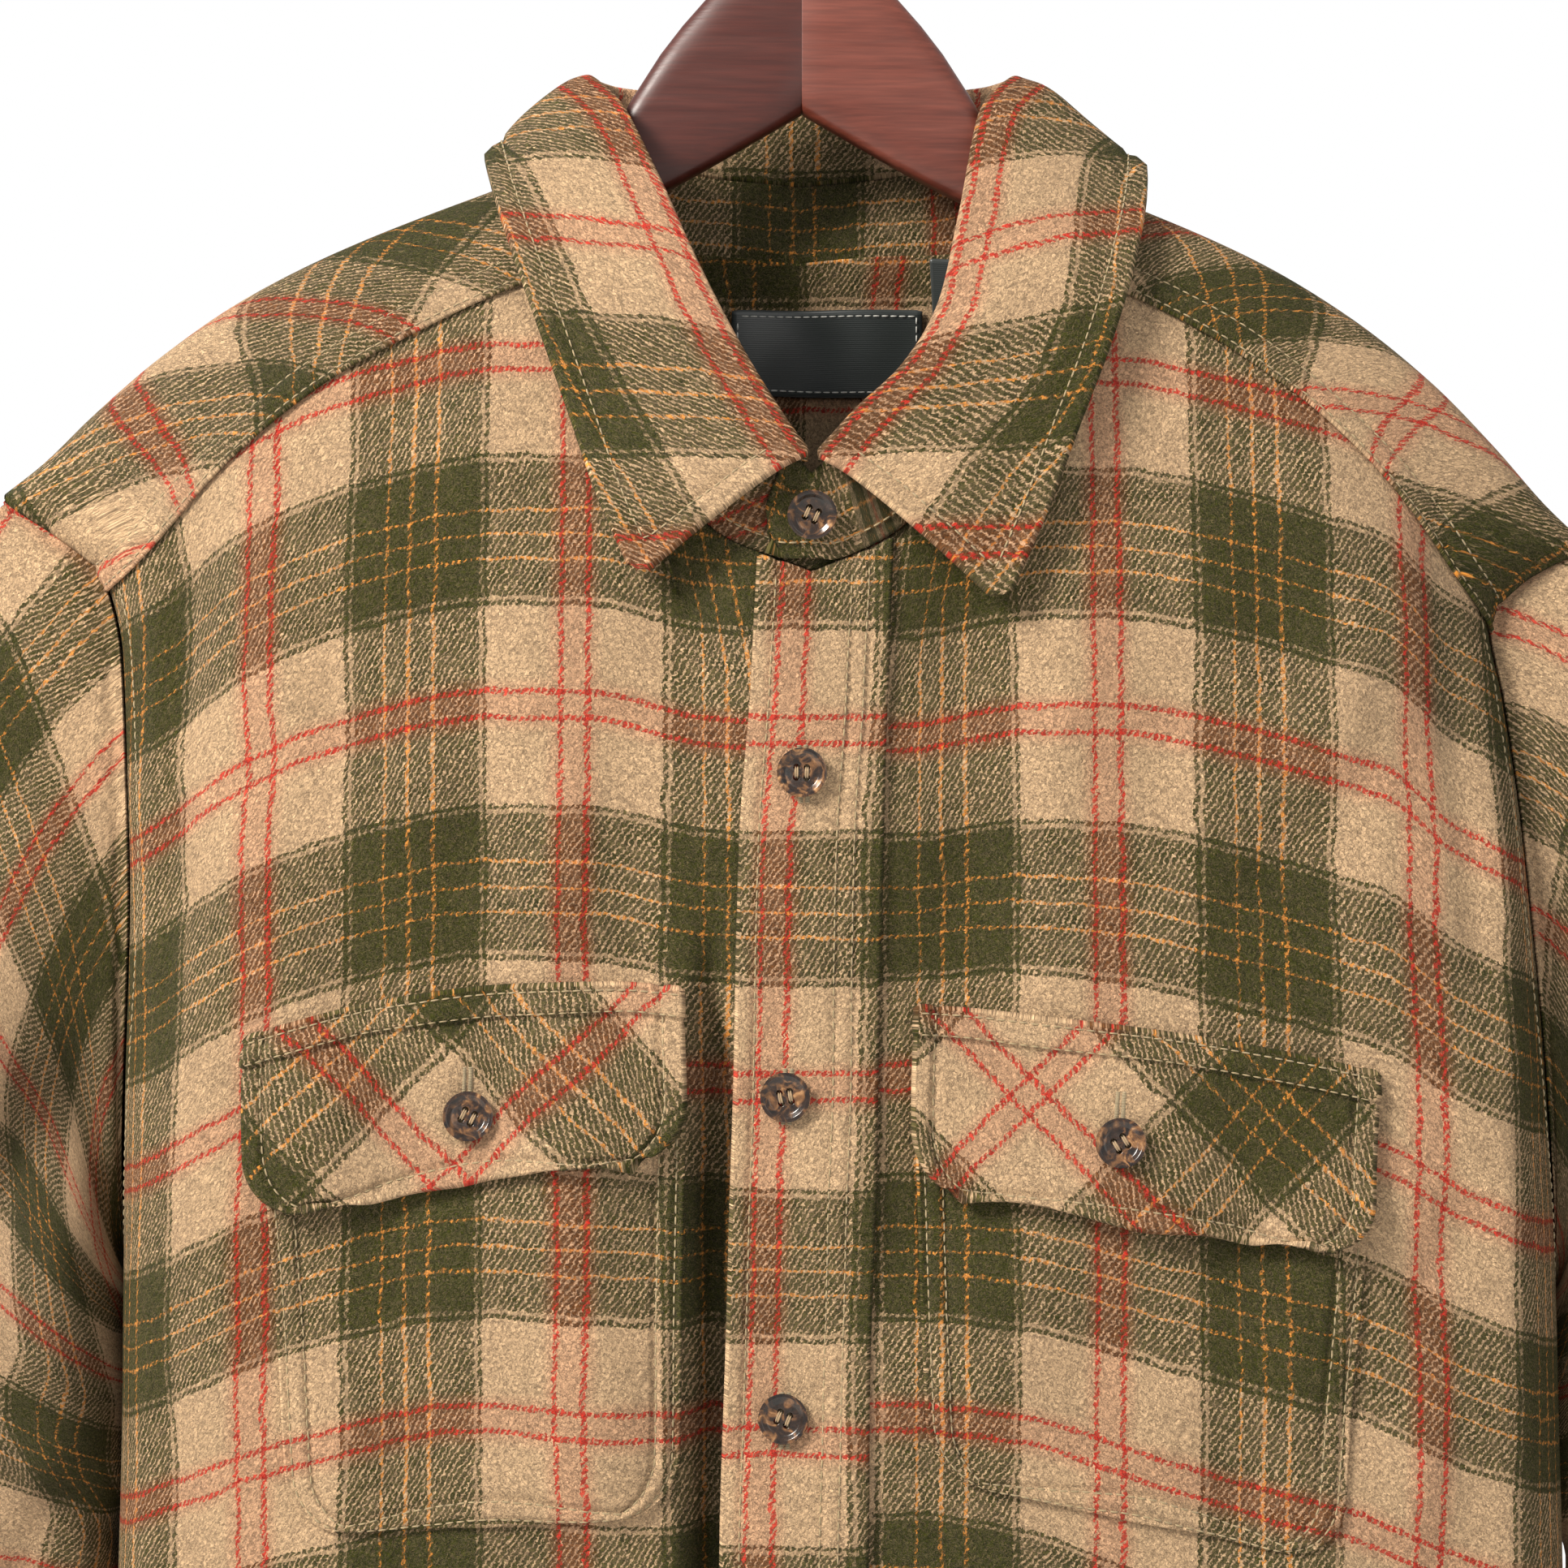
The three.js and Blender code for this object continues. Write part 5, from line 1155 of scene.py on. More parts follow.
def move(tree, operation, vector, by):
    """A vector scaled by a number, or added to or less another vector."""
    key = "Scale" if operation == "SCALE" else 1
    return put(tree, "ShaderNodeVectorMath", {0: vector, key: by}, operation=operation).outputs[0]


def spread_out(tree, value, low, high, to_low=0.0, to_high=1.0, **more):
    """A value between low and high, spread over another range."""
    inputs = {0: value, 1: low, 2: high, 3: to_low, 4: to_high}
    return put(tree, "ShaderNodeMapRange", inputs, **more).outputs[0]


def shaded(tree, colour, tone):
    """A colour multiplied by a number."""
    grey = put(tree, "ShaderNodeCombineColor", {0: tone, 1: tone, 2: tone}).outputs[0]
    return blend_colour(tree, 1.0, colour, grey, "MULTIPLY")


def bumped(tree, shader, height, strength, distance):
    bump = put(tree, "ShaderNodeBump", {"Strength": strength, "Distance": distance, "Height": height})
    tree.links.new(bump.outputs[0], shader.inputs["Normal"])


def blend_colour(tree, factor, a, b, mode="MIX"):
    node = put(tree, "ShaderNodeMix", {0: factor, 6: a, 7: b}, data_type="RGBA", blend_type=mode)
    return node.outputs[2]


def ramp(tree, value, stops, interpolation="CONSTANT"):
    node = put(tree, "ShaderNodeValToRGB", {0: value})
    node.color_ramp.interpolation = interpolation
    elements = node.color_ramp.elements
    while len(elements) > 1:
        elements.remove(elements[-1])
    elements[0].position, elements[0].color = stops[0]
    for position, colour in stops[1:]:
        elements.new(position).color = colour
    return node.outputs[0]


def noise(tree, vector, scale, detail=2.0, **more):
    return put(tree, "ShaderNodeTexNoise", {"Vector": vector, "Scale": scale, "Detail": detail, **more})


def new_group(name, outputs):
    group = bpy.data.node_groups.new(name, "ShaderNodeTree")
    for label, kind in outputs:
        group.interface.new_socket(name=label, in_out="OUTPUT", socket_type=kind)
    return group


def linear(red, green, blue, gain=1.0):
    """An sRGB colour of 0 to 255 as linear RGBA."""
    def one(c):
        c /= 255
        return (c / 12.92 if c <= 0.04045 else ((c + 0.055) / 1.055) ** 2.4) * gain
    return (one(red), one(green), one(blue), 1.0)


def stripes(repeat, olive_width, olive, tan, red, orange, lines):
    """One direction's threads as ramp stops: an olive band with orange lines, then tan with a red pair."""
    fence = 1.3
    faint = tuple(0.62 * a + 0.38 * b for a, b in zip(tan, olive))
    stops = [(0, olive), (fence, faint), (2 * fence, olive)]
    for centre in lines:
        stops += [(centre - 0.5, orange), (centre + 0.5, olive)]
    stops += [(olive_width - 2 * fence, faint), (olive_width - fence, olive), (olive_width, tan)]
    middle = (olive_width + repeat) / 2
    for offset in (-4.1, 4.1):
        stops += [(middle + offset - 0.85, red), (middle + offset + 0.85, tan)]
    return [(position / repeat, colour) for position, colour in stops]


def near_reds(tree, at, repeat, olive_width):
    """1 between and beside a red pair, where its fluff tints the cloth, and 0 away from it."""
    away = calc(tree, "ABSOLUTE", calc(tree, "SUBTRACT", at, (olive_width + repeat) / 2 / repeat))
    return spread_out(tree, away, 4.0 / repeat, 9.5 / repeat, 1.0, 0.0, interpolation_type="SMOOTHSTEP")


def wisps(tree, place, scale, width, distortion):
    """Thin curled lines where two noises of a like height meet: single hairs of the nap."""
    field = noise(tree, place, scale, 3.0, Distortion=distortion).outputs[0]
    away = calc(tree, "ABSOLUTE", calc(tree, "SUBTRACT", field, 0.5))
    return spread_out(tree, away, width * 0.2, width, 1.0, 0.0)


def plaid_group():
    """Woven plaid flannel from the cloth's own UV: its colour and the height of its weave and nap."""
    found = bpy.data.node_groups.get("plaid_flannel")
    if found:
        return found
    colours = bpy.context.scene.shirt_colours
    tan, olive, red, orange = (
        (*getattr(colours, key), 1.0) for key in ("tan", "olive", "red", "orange")
    )
    tree = new_group("plaid_flannel", [("Color", "NodeSocketColor"), ("Height", "NodeSocketFloat")])
    uv = put(tree, "ShaderNodeUVMap", uv_map="cloth").outputs[0]
    scaled = move(tree, "SCALE", uv, 1000.0)
    # Yarns wander a little, and their edges are frayed.
    moved = scaled
    for scale, reach in ((0.12, 2.6), (0.9, 2.3)):
        drift = noise(tree, scaled, scale, 2.0).outputs["Color"]
        drift = move(tree, "SUBTRACT", drift, (0.5, 0.5, 0.5))
        moved = move(tree, "ADD", moved, move(tree, "SCALE", drift, reach))
    split = put(tree, "ShaderNodeSeparateXYZ", {0: moved})
    warp_at = calc(tree, "FRACT", calc(tree, "DIVIDE", split.outputs[0], float(WARP_REPEAT)))
    weft_at = calc(tree, "FRACT", calc(tree, "DIVIDE", split.outputs[1], float(WEFT_REPEAT)))
    shared = (olive, tan, red, orange)
    warp = ramp(tree, warp_at, stripes(WARP_REPEAT, WARP_OLIVE, *shared, (12.5, 20, 27.5)))
    weft = ramp(tree, weft_at, stripes(WEFT_REPEAT, WEFT_OLIVE, *shared, (14.5, 22, 29.5)))
    # Twill: steep diagonals where the warp and then the weft lies on top, the darker one wider.
    over_warp, over_weft = (
        calc(tree, "MULTIPLY", split.outputs[k], part) for k, part in enumerate(TWILL_SLOPE)
    )
    ribs = calc(tree, "SUBTRACT", over_warp, over_weft)
    rib = calc(tree, "PINGPONG", calc(tree, "DIVIDE", ribs, TWILL_PITCH), 0.5)
    patchy = noise(tree, scaled, 1.3, 3.0).outputs[0]
    patchy = calc(tree, "MULTIPLY", calc(tree, "SUBTRACT", patchy, 0.5), 1.3)
    rib = calc(tree, "ADD", calc(tree, "MULTIPLY", rib, 2.0), patchy)
    warp_tone = put(tree, "ShaderNodeRGBToBW", {0: warp}).outputs[0]
    weft_tone = put(tree, "ShaderNodeRGBToBW", {0: weft}).outputs[0]
    darker = calc(tree, "MULTIPLY", calc(tree, "SUBTRACT", weft_tone, warp_tone), 0.75)
    rib = calc(tree, "ADD", rib, darker)
    over = spread_out(tree, rib, 0.32, 0.68, interpolation_type="SMOOTHSTEP")
    woven = blend_colour(tree, over, weft, warp)
    mean = blend_colour(tree, 0.5, weft, warp)
    haze = noise(tree, scaled, 0.16, 3.0).outputs[0]
    haze = spread_out(tree, haze, 0.3, 0.75, 0.0, 0.32)
    colour = blend_colour(tree, haze, woven, mean)
    near_warp = near_reds(tree, warp_at, WARP_REPEAT, WARP_OLIVE)
    near_weft = near_reds(tree, weft_at, WEFT_REPEAT, WEFT_OLIVE)
    pink = calc(tree, "MAXIMUM", near_warp, near_weft)
    colour = blend_colour(tree, calc(tree, "MULTIPLY", pink, 0.16), colour, red)
    # Nap: fluff that lies lighter and darker, with single pale curled hairs over it.
    broad = noise(tree, scaled, 0.035, 2.0).outputs[0]
    broad = spread_out(tree, broad, 0.3, 0.7, 0.92, 1.07)
    fluff = noise(tree, moved, 1.1, 4.0, Roughness=0.65, Distortion=0.9).outputs[0]
    shade = calc(tree, "MULTIPLY", spread_out(tree, fluff, 0.4, 0.6, 0.52, 1.42), broad)
    colour = shaded(tree, colour, shade)
    hair = calc(tree, "MAXIMUM", wisps(tree, scaled, 0.26, 0.02, 3.4), wisps(tree, scaled, 0.5, 0.028, 2.6))
    pale = tuple(min(1, c * 1.4) for c in tan[:3]) + (1.0,)
    own_pale = blend_colour(tree, 0.24, move(tree, "SCALE", colour, 1.5), pale)
    colour = blend_colour(tree, calc(tree, "MULTIPLY", hair, 0.85), colour, own_pale)
    height = calc(tree, "ADD", calc(tree, "MULTIPLY", over, 0.35), calc(tree, "MULTIPLY", fluff, 1.3))
    height = calc(tree, "ADD", height, calc(tree, "MULTIPLY", hair, 0.35))
    out = put(tree, "NodeGroupOutput")
    tree.links.new(colour, out.inputs["Color"])
    tree.links.new(height, out.inputs["Height"])
    return tree


def new_material(name, **constants):
    material = bpy.data.materials.new(name)
    material.use_nodes = True
    tree = material.node_tree
    shader = tree.nodes["Principled BSDF"]
    for key, value in constants.items():
        shader.inputs[key.replace("_", " ")].default_value = value
    return material, tree, shader


def flannel_material():
    found = bpy.data.materials.get("plaid flannel")
    if found:
        return found
    material, tree, shader = new_material(
        "plaid flannel", Roughness=0.95, Sheen_Weight=0.03, Sheen_Roughness=0.5, Specular_IOR_Level=0.06,
    )
    cloth = put(tree, "ShaderNodeGroup", node_tree=plaid_group())
    tree.links.new(cloth.outputs["Color"], shader.inputs["Base Color"])
    bumped(tree, shader, cloth.outputs["Height"], 1.0, 0.0011)
    return material


def label_material():
    found = bpy.data.materials.get("label satin")
    if found:
        return found
    material, tree, shader = new_material("label satin", Roughness=0.42, Sheen_Weight=0.1)
    place = put(tree, "ShaderNodeUVMap", uv_map="cloth").outputs[0]
    scaled = move(tree, "SCALE", place, 1000.0)
    split = put(tree, "ShaderNodeSeparateXYZ", {0: scaled})
    rib = calc(tree, "PINGPONG", split.outputs[1], 0.35)
    grain = noise(tree, scaled, 3.0, 3.0).outputs[0]
    dark, light = linear(16, 20, 20), linear(44, 50, 48)
    colour = blend_colour(tree, calc(tree, "MULTIPLY", grain, 0.9), dark, light)
    tree.links.new(colour, shader.inputs["Base Color"])
    height = calc(tree, "ADD", rib, calc(tree, "MULTIPLY", grain, 0.3))
    bumped(tree, shader, height, 0.4, 0.0003)
    return material


def thread_material(name, colour):
    found = bpy.data.materials.get(name)
    if found:
        return found
    material, tree, shader = new_material(name, Roughness=0.75, Sheen_Weight=0.2)
    place = put(tree, "ShaderNodeTexCoord").outputs["Object"]
    uneven = noise(tree, place, 900.0, 3.0).outputs[0]
    tone = spread_out(tree, uneven, 0.3, 0.7, 0.75, 1.15)
    tree.links.new(shaded(tree, colour, tone), shader.inputs["Base Color"])
    return material


def horn_material():
    found = bpy.data.materials.get("mottled horn plastic")
    if found:
        return found
    material, tree, shader = new_material(
        "mottled horn plastic", Roughness=0.28, Coat_Weight=0.12, Coat_Roughness=0.15,
        Specular_IOR_Level=0.32,
    )
    place = put(tree, "ShaderNodeTexCoord").outputs["Object"]
    cloud = noise(tree, place, 210.0, 5.0, Distortion=1.6).outputs[0]
    tones = ((0.34, 13, 8, 5), (0.5, 36, 22, 13), (0.62, 92, 62, 36), (0.74, 150, 112, 74))
    colour = ramp(tree, cloud, [(at, linear(*rgb)) for at, *rgb in tones], "LINEAR")
    tree.links.new(colour, shader.inputs["Base Color"])
    fine = noise(tree, place, 1800.0, 2.0).outputs[0]
    rough = spread_out(tree, fine, 0.3, 0.7, 0.14, 0.34)
    tree.links.new(rough, shader.inputs["Roughness"])
    return material


def wood_material(name, dark, light, tilt):
    material, tree, shader = new_material(
        name, Roughness=0.42, Coat_Weight=0.08, Coat_Roughness=0.25, Specular_IOR_Level=0.3,
    )
    place = put(tree, "ShaderNodeTexCoord").outputs["Object"]
    along, along_fine = (
        put(tree, "ShaderNodeMapping", {"Vector": place, "Rotation": (0, tilt, 0), "Scale": scale}).outputs[0]
        for scale in ((9.0, 60.0, 110.0), (50.0, 600.0, 900.0))
    )
    broad = noise(tree, along, 1.3, 5.0, Distortion=0.9).outputs[0]
    pores = noise(tree, along_fine, 1.0, 3.0).outputs[0]
    colour = ramp(tree, broad, [(0.25, dark), (0.75, light)], "LINEAR")
    streak = spread_out(tree, pores, 0.35, 0.65, 0.8, 1.12)
    tree.links.new(shaded(tree, colour, streak), shader.inputs["Base Color"])
    tree.links.new(spread_out(tree, broad, 0.3, 0.7, 0.34, 0.5), shader.inputs["Roughness"])
    bumped(tree, shader, pores, 0.2, 0.0003)
    return material


def steel_material():
    material, tree, shader = new_material("plated steel wire", Metallic=1.0, Roughness=0.2)
    place = put(tree, "ShaderNodeTexCoord").outputs["Object"]
    rubbed = noise(tree, place, 300.0, 4.0).outputs[0]
    colour = ramp(tree, rubbed, [(0.3, linear(176, 174, 170)), (0.7, linear(214, 212, 208))], "LINEAR")
    tree.links.new(colour, shader.inputs["Base Color"])
    tree.links.new(spread_out(tree, rubbed, 0.3, 0.7, 0.14, 0.32), shader.inputs["Roughness"])
    return material


# Threads

def ring_of(normal, along, sides):
    """Directions round a thread at each point."""
    side = unit(np.cross(normal, along))
    up = unit(np.cross(along, side))
    angle = np.arange(sides) / sides * 2 * math.pi
    return side[:, None] * np.cos(angle)[None, :, None] + up[:, None] * np.sin(angle)[None, :, None]


# How far along a thread, how thick and how high it is there, in parts of its radius.
THREAD_PROFILE = (
    (0.0, 0.25, -0.9), (0.16, 0.85, -0.15), (0.5, 1.0, 0.25), (0.84, 0.85, -0.15), (1.0, 0.25, -0.9),
)


def thread_mesh(name, starts, ends, normals, radius, sides=5):
    """Short threads, each a rounded bar that dips at both ends."""
    starts, ends, normals = (np.asarray(a, float) for a in (starts, ends, normals))
    along = unit(ends - starts)
    around = ring_of(normals, along, sides)
    rings = [
        (mix(starts, ends, t) + normals * radius * lift)[:, None] + around * radius * size
        for t, size, lift in THREAD_PROFILE
    ]
    points = np.stack(rings, 1)
    count, levels = len(starts), len(THREAD_PROFILE)
    base = np.arange(count)[:, None, None] * levels * sides
    level = np.arange(levels - 1)[None, :, None] * sides
    k = np.arange(sides)[None, None, :]
    a, b = base + level + k, base + level + (k + 1) % sides
    faces = np.stack([a, b, b + sides, a + sides], -1).reshape(-1, 4)
    caps = [
        (base[:, 0] + np.arange(sides)[::-1][None]).reshape(-1, sides),
        (base[:, 0] + (levels - 1) * sides + np.arange(sides)[None]).reshape(-1, sides),
    ]
    mesh = bpy.data.meshes.new(name)
    polygons = faces.tolist() + caps[0].tolist() + caps[1].tolist()
    mesh.from_pydata((points.reshape(-1, 3) * MM).tolist(), [], polygons)
    mesh.polygons.foreach_set("use_smooth", np.ones(len(mesh.polygons), bool))
    piece = bpy.data.objects.new(name, mesh)
    bpy.context.scene.collection.objects.link(piece)
    bm = bmesh.new()
    bm.from_mesh(mesh)
    bmesh.ops.recalc_face_normals(bm, faces=bm.faces)
    bm.to_mesh(mesh)
    bm.free()
    return piece


def sample(surface, row, column):
    """Points and normals of a cloth's outer face at fractional rows and columns."""
    points, normal = SURFACES[surface]
    row = np.clip(row, 0, len(points) - 1.001)
    column = np.clip(column, 0, points.shape[1] - 1.001)
    j, i = row.astype(int), column.astype(int)
    t, s = (row - j)[:, None], (column - i)[:, None]
    def at(grid):
        return mix(mix(grid[j, i], grid[j, i + 1], s), mix(grid[j + 1, i], grid[j + 1, i + 1], s), t)
    return at(points), unit(at(normal))


def stitch_runs(surface, paths, length, gap, lift):
    """Stitch starts, ends and normals along paths of (row, column) places on a cloth."""
    starts, ends, normals = [], [], []
    for path in paths:
        path = np.asarray(path, float)
        dense = np.linspace(0, len(path) - 1, 1400)
        rows = np.interp(dense, np.arange(len(path)), path[:, 0])
        columns = np.interp(dense, np.arange(len(path)), path[:, 1])
        points, normal = sample(surface, rows, columns)
        points = points + normal * lift
        run = np.concatenate([[0], np.cumsum(np.linalg.norm(np.diff(points, axis=0), axis=1))])
        first = np.arange(0.5, run[-1] - length, length + gap)

        def where(s, values, run=run):
            return np.stack([np.interp(s, run, values[:, a]) for a in range(3)], -1)

        starts.append(where(first, points))
        ends.append(where(first + length, points))
        normals.append(unit(where(first + length / 2, normal)))
    return np.concatenate(starts), np.concatenate(ends), np.concatenate(normals)


def stitching(name, surface, paths, material, length=2.7, gap=0.7, radius=0.3, lift=0.12):
    piece = thread_mesh(name, *stitch_runs(surface, paths, length, gap, lift), radius)
    return dress(piece, material, "flannel")


def columns_at(points, distance, from_end=False):
    """The fractional column that lies at a distance along each row."""
    run = lengths(points, 1)
    if from_end:
        distance = run[:, -1] - distance
    wanted = np.broadcast_to(distance, len(run))
    return np.array([np.interp(d, row, np.arange(len(row))) for row, d in zip(run, wanted)])


def rows_at(points, distance, from_end=False):
    return columns_at(np.swapaxes(points, 0, 1), distance, from_end)


def along_columns(surface, distances, from_end=False, trim=2):
    points, _ = SURFACES[surface]
    rows = np.arange(trim, len(points) - trim)
    return [np.stack([rows, columns_at(points, d, from_end)[rows]], -1) for d in distances]


def along_rows(surface, distances, from_end=False, keep=None):
    points, _ = SURFACES[surface]
    columns = np.arange(1, points.shape[1] - 1) if keep is None else keep
    return [np.stack([rows_at(points, d, from_end)[columns], columns], -1) for d in distances]


def along_border(surface, distance, first_row=1):
    """Down one side at a distance from the edge, along the bottom and up the other side."""
    points, _ = SURFACES[surface]
    left, right = columns_at(points, distance), columns_at(points, distance, True)
    bottom = rows_at(points, distance, True)
    last = int(bottom[len(bottom) // 2]) - 1
    while last > first_row and last > bottom[int(left[last])]:
        last -= 1
    rows = np.arange(first_row, last)
    columns = np.arange(int(left[last]) + 1, int(right[last]))
    sides = [np.stack([rows, left[rows]], -1), np.stack([rows, right[rows]], -1)[::-1]]
    return np.concatenate([sides[0], np.stack([bottom[columns], columns], -1), sides[1]])


def locate(surface, x, z):
    """The row and column of a cloth's grid that lies nearest to x and z, seen from the front."""
    points, _ = SURFACES[surface]
    away = (points[..., 0] - x) ** 2 + (points[..., 2] - z) ** 2
    return np.array(np.unravel_index(away.argmin(), away.shape), float)


def sewing_thread():
    return thread_material("sewing thread", linear(168, 146, 104, 0.55))


def sew(name, surface, paths):
    size = bpy.context.scene.shirt_sizes.stitch / MM
    return stitching(name, surface, paths, sewing_thread(), length=size)


def make_seams():
    sew("placket_stitching", "placket", along_columns("placket", PLACKET_LINES))
    fall_rows = 28
    sew("collar_stitching", "collar_fall", [along_border("collar_fall", COLLAR_LINE, fall_rows)])
    sew("stand_stitching", "collar_stand", along_rows("collar_stand", (6.2,), True))
    yoke, _ = SURFACES["yoke"]
    shoulder = np.arange(SHOULDER_COLUMNS)
    right_to_left = [shoulder[1:-1], yoke.shape[1] - 1 - shoulder[-2:0:-1]]
    front_seams = [path for keep in right_to_left for path in along_rows("yoke", YOKE_FRONT_LINES, True, keep)]
    sew("yoke_stitching", "yoke", front_seams + along_rows("yoke", YOKE_BACK_LINES))
    for side in ("right", "left"):
        pocket, flap, cuff, front = (part + "_" + side for part in ("pocket", "flap", "cuff", "front"))
        sew(pocket + "_stitching", pocket, [along_border(pocket, d) for d in POCKET_LINES])
        sew(flap + "_stitching", flap, [along_border(flap, FLAP_LINE)] + along_rows(flap, FLAP_TOP_LINES))
        sew(cuff + "_stitching", cuff, [along_border(cuff, CUFF_LINE)] + along_rows(cuff, (CUFF_LINE,)))
        hem = along_rows(front, (HEM_LINE,), True)
        points, _ = SURFACES[front]
        outer_end = side == "left"
        edge = columns_at(points, 9, outer_end)
        low = shoulder_z(LEFT if outer_end else RIGHT, 1) - ARMHOLE_DEPTH
        upper = np.nonzero(points[:, -1 if outer_end else 0, 2] > low)[0][4:]
        sew(front + "_stitching", front, hem + [np.stack([upper, edge[upper]], -1)])
    sew("back_stitching", "back", along_rows("back", (HEM_LINE,), True))
    border = thread_material("label thread", linear(214, 212, 204, 0.6))
    inside = "neck_label inside"
    around = [along_border(inside, 1.6)] + along_rows(inside, (1.6,))
    piece = thread_mesh("label_stitching", *stitch_runs(inside, around, 2.4, 0.5, 0.12), 0.28)
    dress(piece, border, "label")


def buttonhole(surface, start, end):
    """Two bars of thread along a slit, from one place (x, z) to another."""
    first, last = locate(surface, *start), locate(surface, *end)
    path = np.stack([np.linspace(a, b, 40) for a, b in zip(first, last)], -1)
    middles, tips, normals = stitch_runs(surface, [path], 0.05, 0.45, 0.15)
    across = unit(np.cross(normals, tips - middles))
    starts, ends = [], []
    for near, far in ((0.25, 1.75), (-0.25, -1.75)):
        starts.append(middles + across * near)
        ends.append(middles + across * far)
    return np.concatenate(starts), np.concatenate(ends), np.concatenate([normals, normals])


BUTTONHOLE = 18


def make_buttonholes():
    runs = []
    for k in range(PLACKET_BUTTONS):
        z = FIRST_BUTTON_Z - k * BUTTON_PITCH
        x = float(button_x(z))
        runs.append(buttonhole("placket", (x, z + BUTTONHOLE / 2), (x, z - BUTTONHOLE / 2)))
    for name in ("flap_right", "flap_left"):
        patch = PATCHES[name]
        place = patch_point(patch, np.array(patch["buttonU"]), np.array(patch["buttonV"]))
        runs.append(buttonhole(name, (place[0], place[2] + BUTTONHOLE - 2), (place[0], place[2] - 1)))
    piece = thread_mesh("buttonholes", *(np.concatenate(part) for part in zip(*runs)), 0.27, 5)
    dress(piece, thread_material("buttonhole thread", linear(176, 156, 118, 0.5)), "flannel")


# Buttons

def select_faces(piece, wanted):
    bpy.ops.object.mode_set(mode="EDIT")
    bpy.ops.mesh.select_mode(type="FACE")
    bpy.ops.mesh.select_all(action="DESELECT")
    bpy.ops.object.mode_set(mode="OBJECT")
    for face in piece.data.polygons:
        face.select = wanted(face)
    bpy.ops.object.mode_set(mode="EDIT")


def button_shape():
    """A shirt button with a raised rim, a dished middle and four holes, lying on z = 0."""
    sizes = bpy.context.scene.shirt_sizes
    radius, height = sizes.button_radius, sizes.button_height
    deselect()
    centre = (0, 0, height / 2)
    bpy.ops.mesh.primitive_cylinder_add(vertices=48, radius=radius, depth=height, location=centre)
    button = bpy.context.object
    bpy.ops.object.transform_apply(location=True, rotation=True, scale=True)
    select_faces(button, lambda face: face.normal.z < -0.9)
    bpy.ops.transform.resize(value=(0.74, 0.74, 1), center_override=(0, 0, 0))
    select_faces(button, lambda face: face.normal.z > 0.9)
    bpy.ops.mesh.inset(thickness=0.15 * radius)
    bpy.ops.mesh.inset(thickness=0.17 * radius)
    bpy.ops.transform.translate(value=(0, 0, -0.36 * height))
    bpy.ops.mesh.inset(thickness=0.1 * radius)
    bpy.ops.transform.translate(value=(0, 0, -0.05 * height))
    bpy.ops.object.mode_set(mode="OBJECT")
    for k in range(4):
        turn = (k + 0.5) * math.pi / 2
        place = (2.2 * MM * math.cos(turn), 2.2 * MM * math.sin(turn), height / 2)
        deselect()
        bpy.ops.mesh.primitive_cylinder_add(vertices=16, radius=0.95 * MM, depth=3 * height, location=place)
        drill = bpy.context.object
        deselect()
        button.select_set(True)
        bpy.context.view_layer.objects.active = button
        cut = button.modifiers.new("hole", "BOOLEAN")
        cut.operation, cut.object, cut.solver = "DIFFERENCE", drill, "EXACT"
        bpy.ops.object.modifier_apply(modifier="hole")
        bpy.data.objects.remove(drill)
    edges = button.modifiers.new("edges", "BEVEL")
    edges.width, edges.segments = 0.22 * MM, 3
    edges.limit_method, edges.angle_limit = "ANGLE", math.radians(28)
    bpy.ops.object.modifier_apply(modifier="edges")
    bpy.ops.object.shade_smooth_by_angle(angle=math.radians(32))
    return button


def button_places():
    """Each button's name with its cloth as a function of a step right and down, and its height on it."""

    def on_stand(r, d):
        return stand_point(np.array(1 - r * 0.004), np.array(0.6 - d * 0.03))

    places = [("button_stand", on_stand, DOUBLED / 2)]
    for k in range(PLACKET_BUTTONS):
        z = FIRST_BUTTON_Z - k * BUTTON_PITCH
        x = float(button_x(z))

        def on_placket(r, d, x=x, z=z):
            return face_point(FRONT, x + r, z - d, True)

        places.append((f"button_placket_{k + 1}", on_placket, SEAM + DOUBLED))
    for name in ("flap_right", "flap_left"):
        patch = PATCHES[name]

        def on_flap(r, d, patch=patch):
            v = np.array(patch["buttonV"] + d * 0.02)
            point = patch_point(patch, np.array(patch["buttonU"] + r * 0.01), v)
            point[..., 1] -= flap_lift(patch, v)
            return point

        places.append((name.replace("flap", "button_flap"), on_flap, DOUBLED))
    for side, name in ((RIGHT, "button_cuff_right"), (LEFT, "button_cuff_left")):

        def on_cuff(r, d, side=side):
            return cuff_point(side, CUFF_BUTTON - side * r * 0.004, 0.5 + d * 0.02)

        places.append((name, on_cuff, 0.0))
    return places


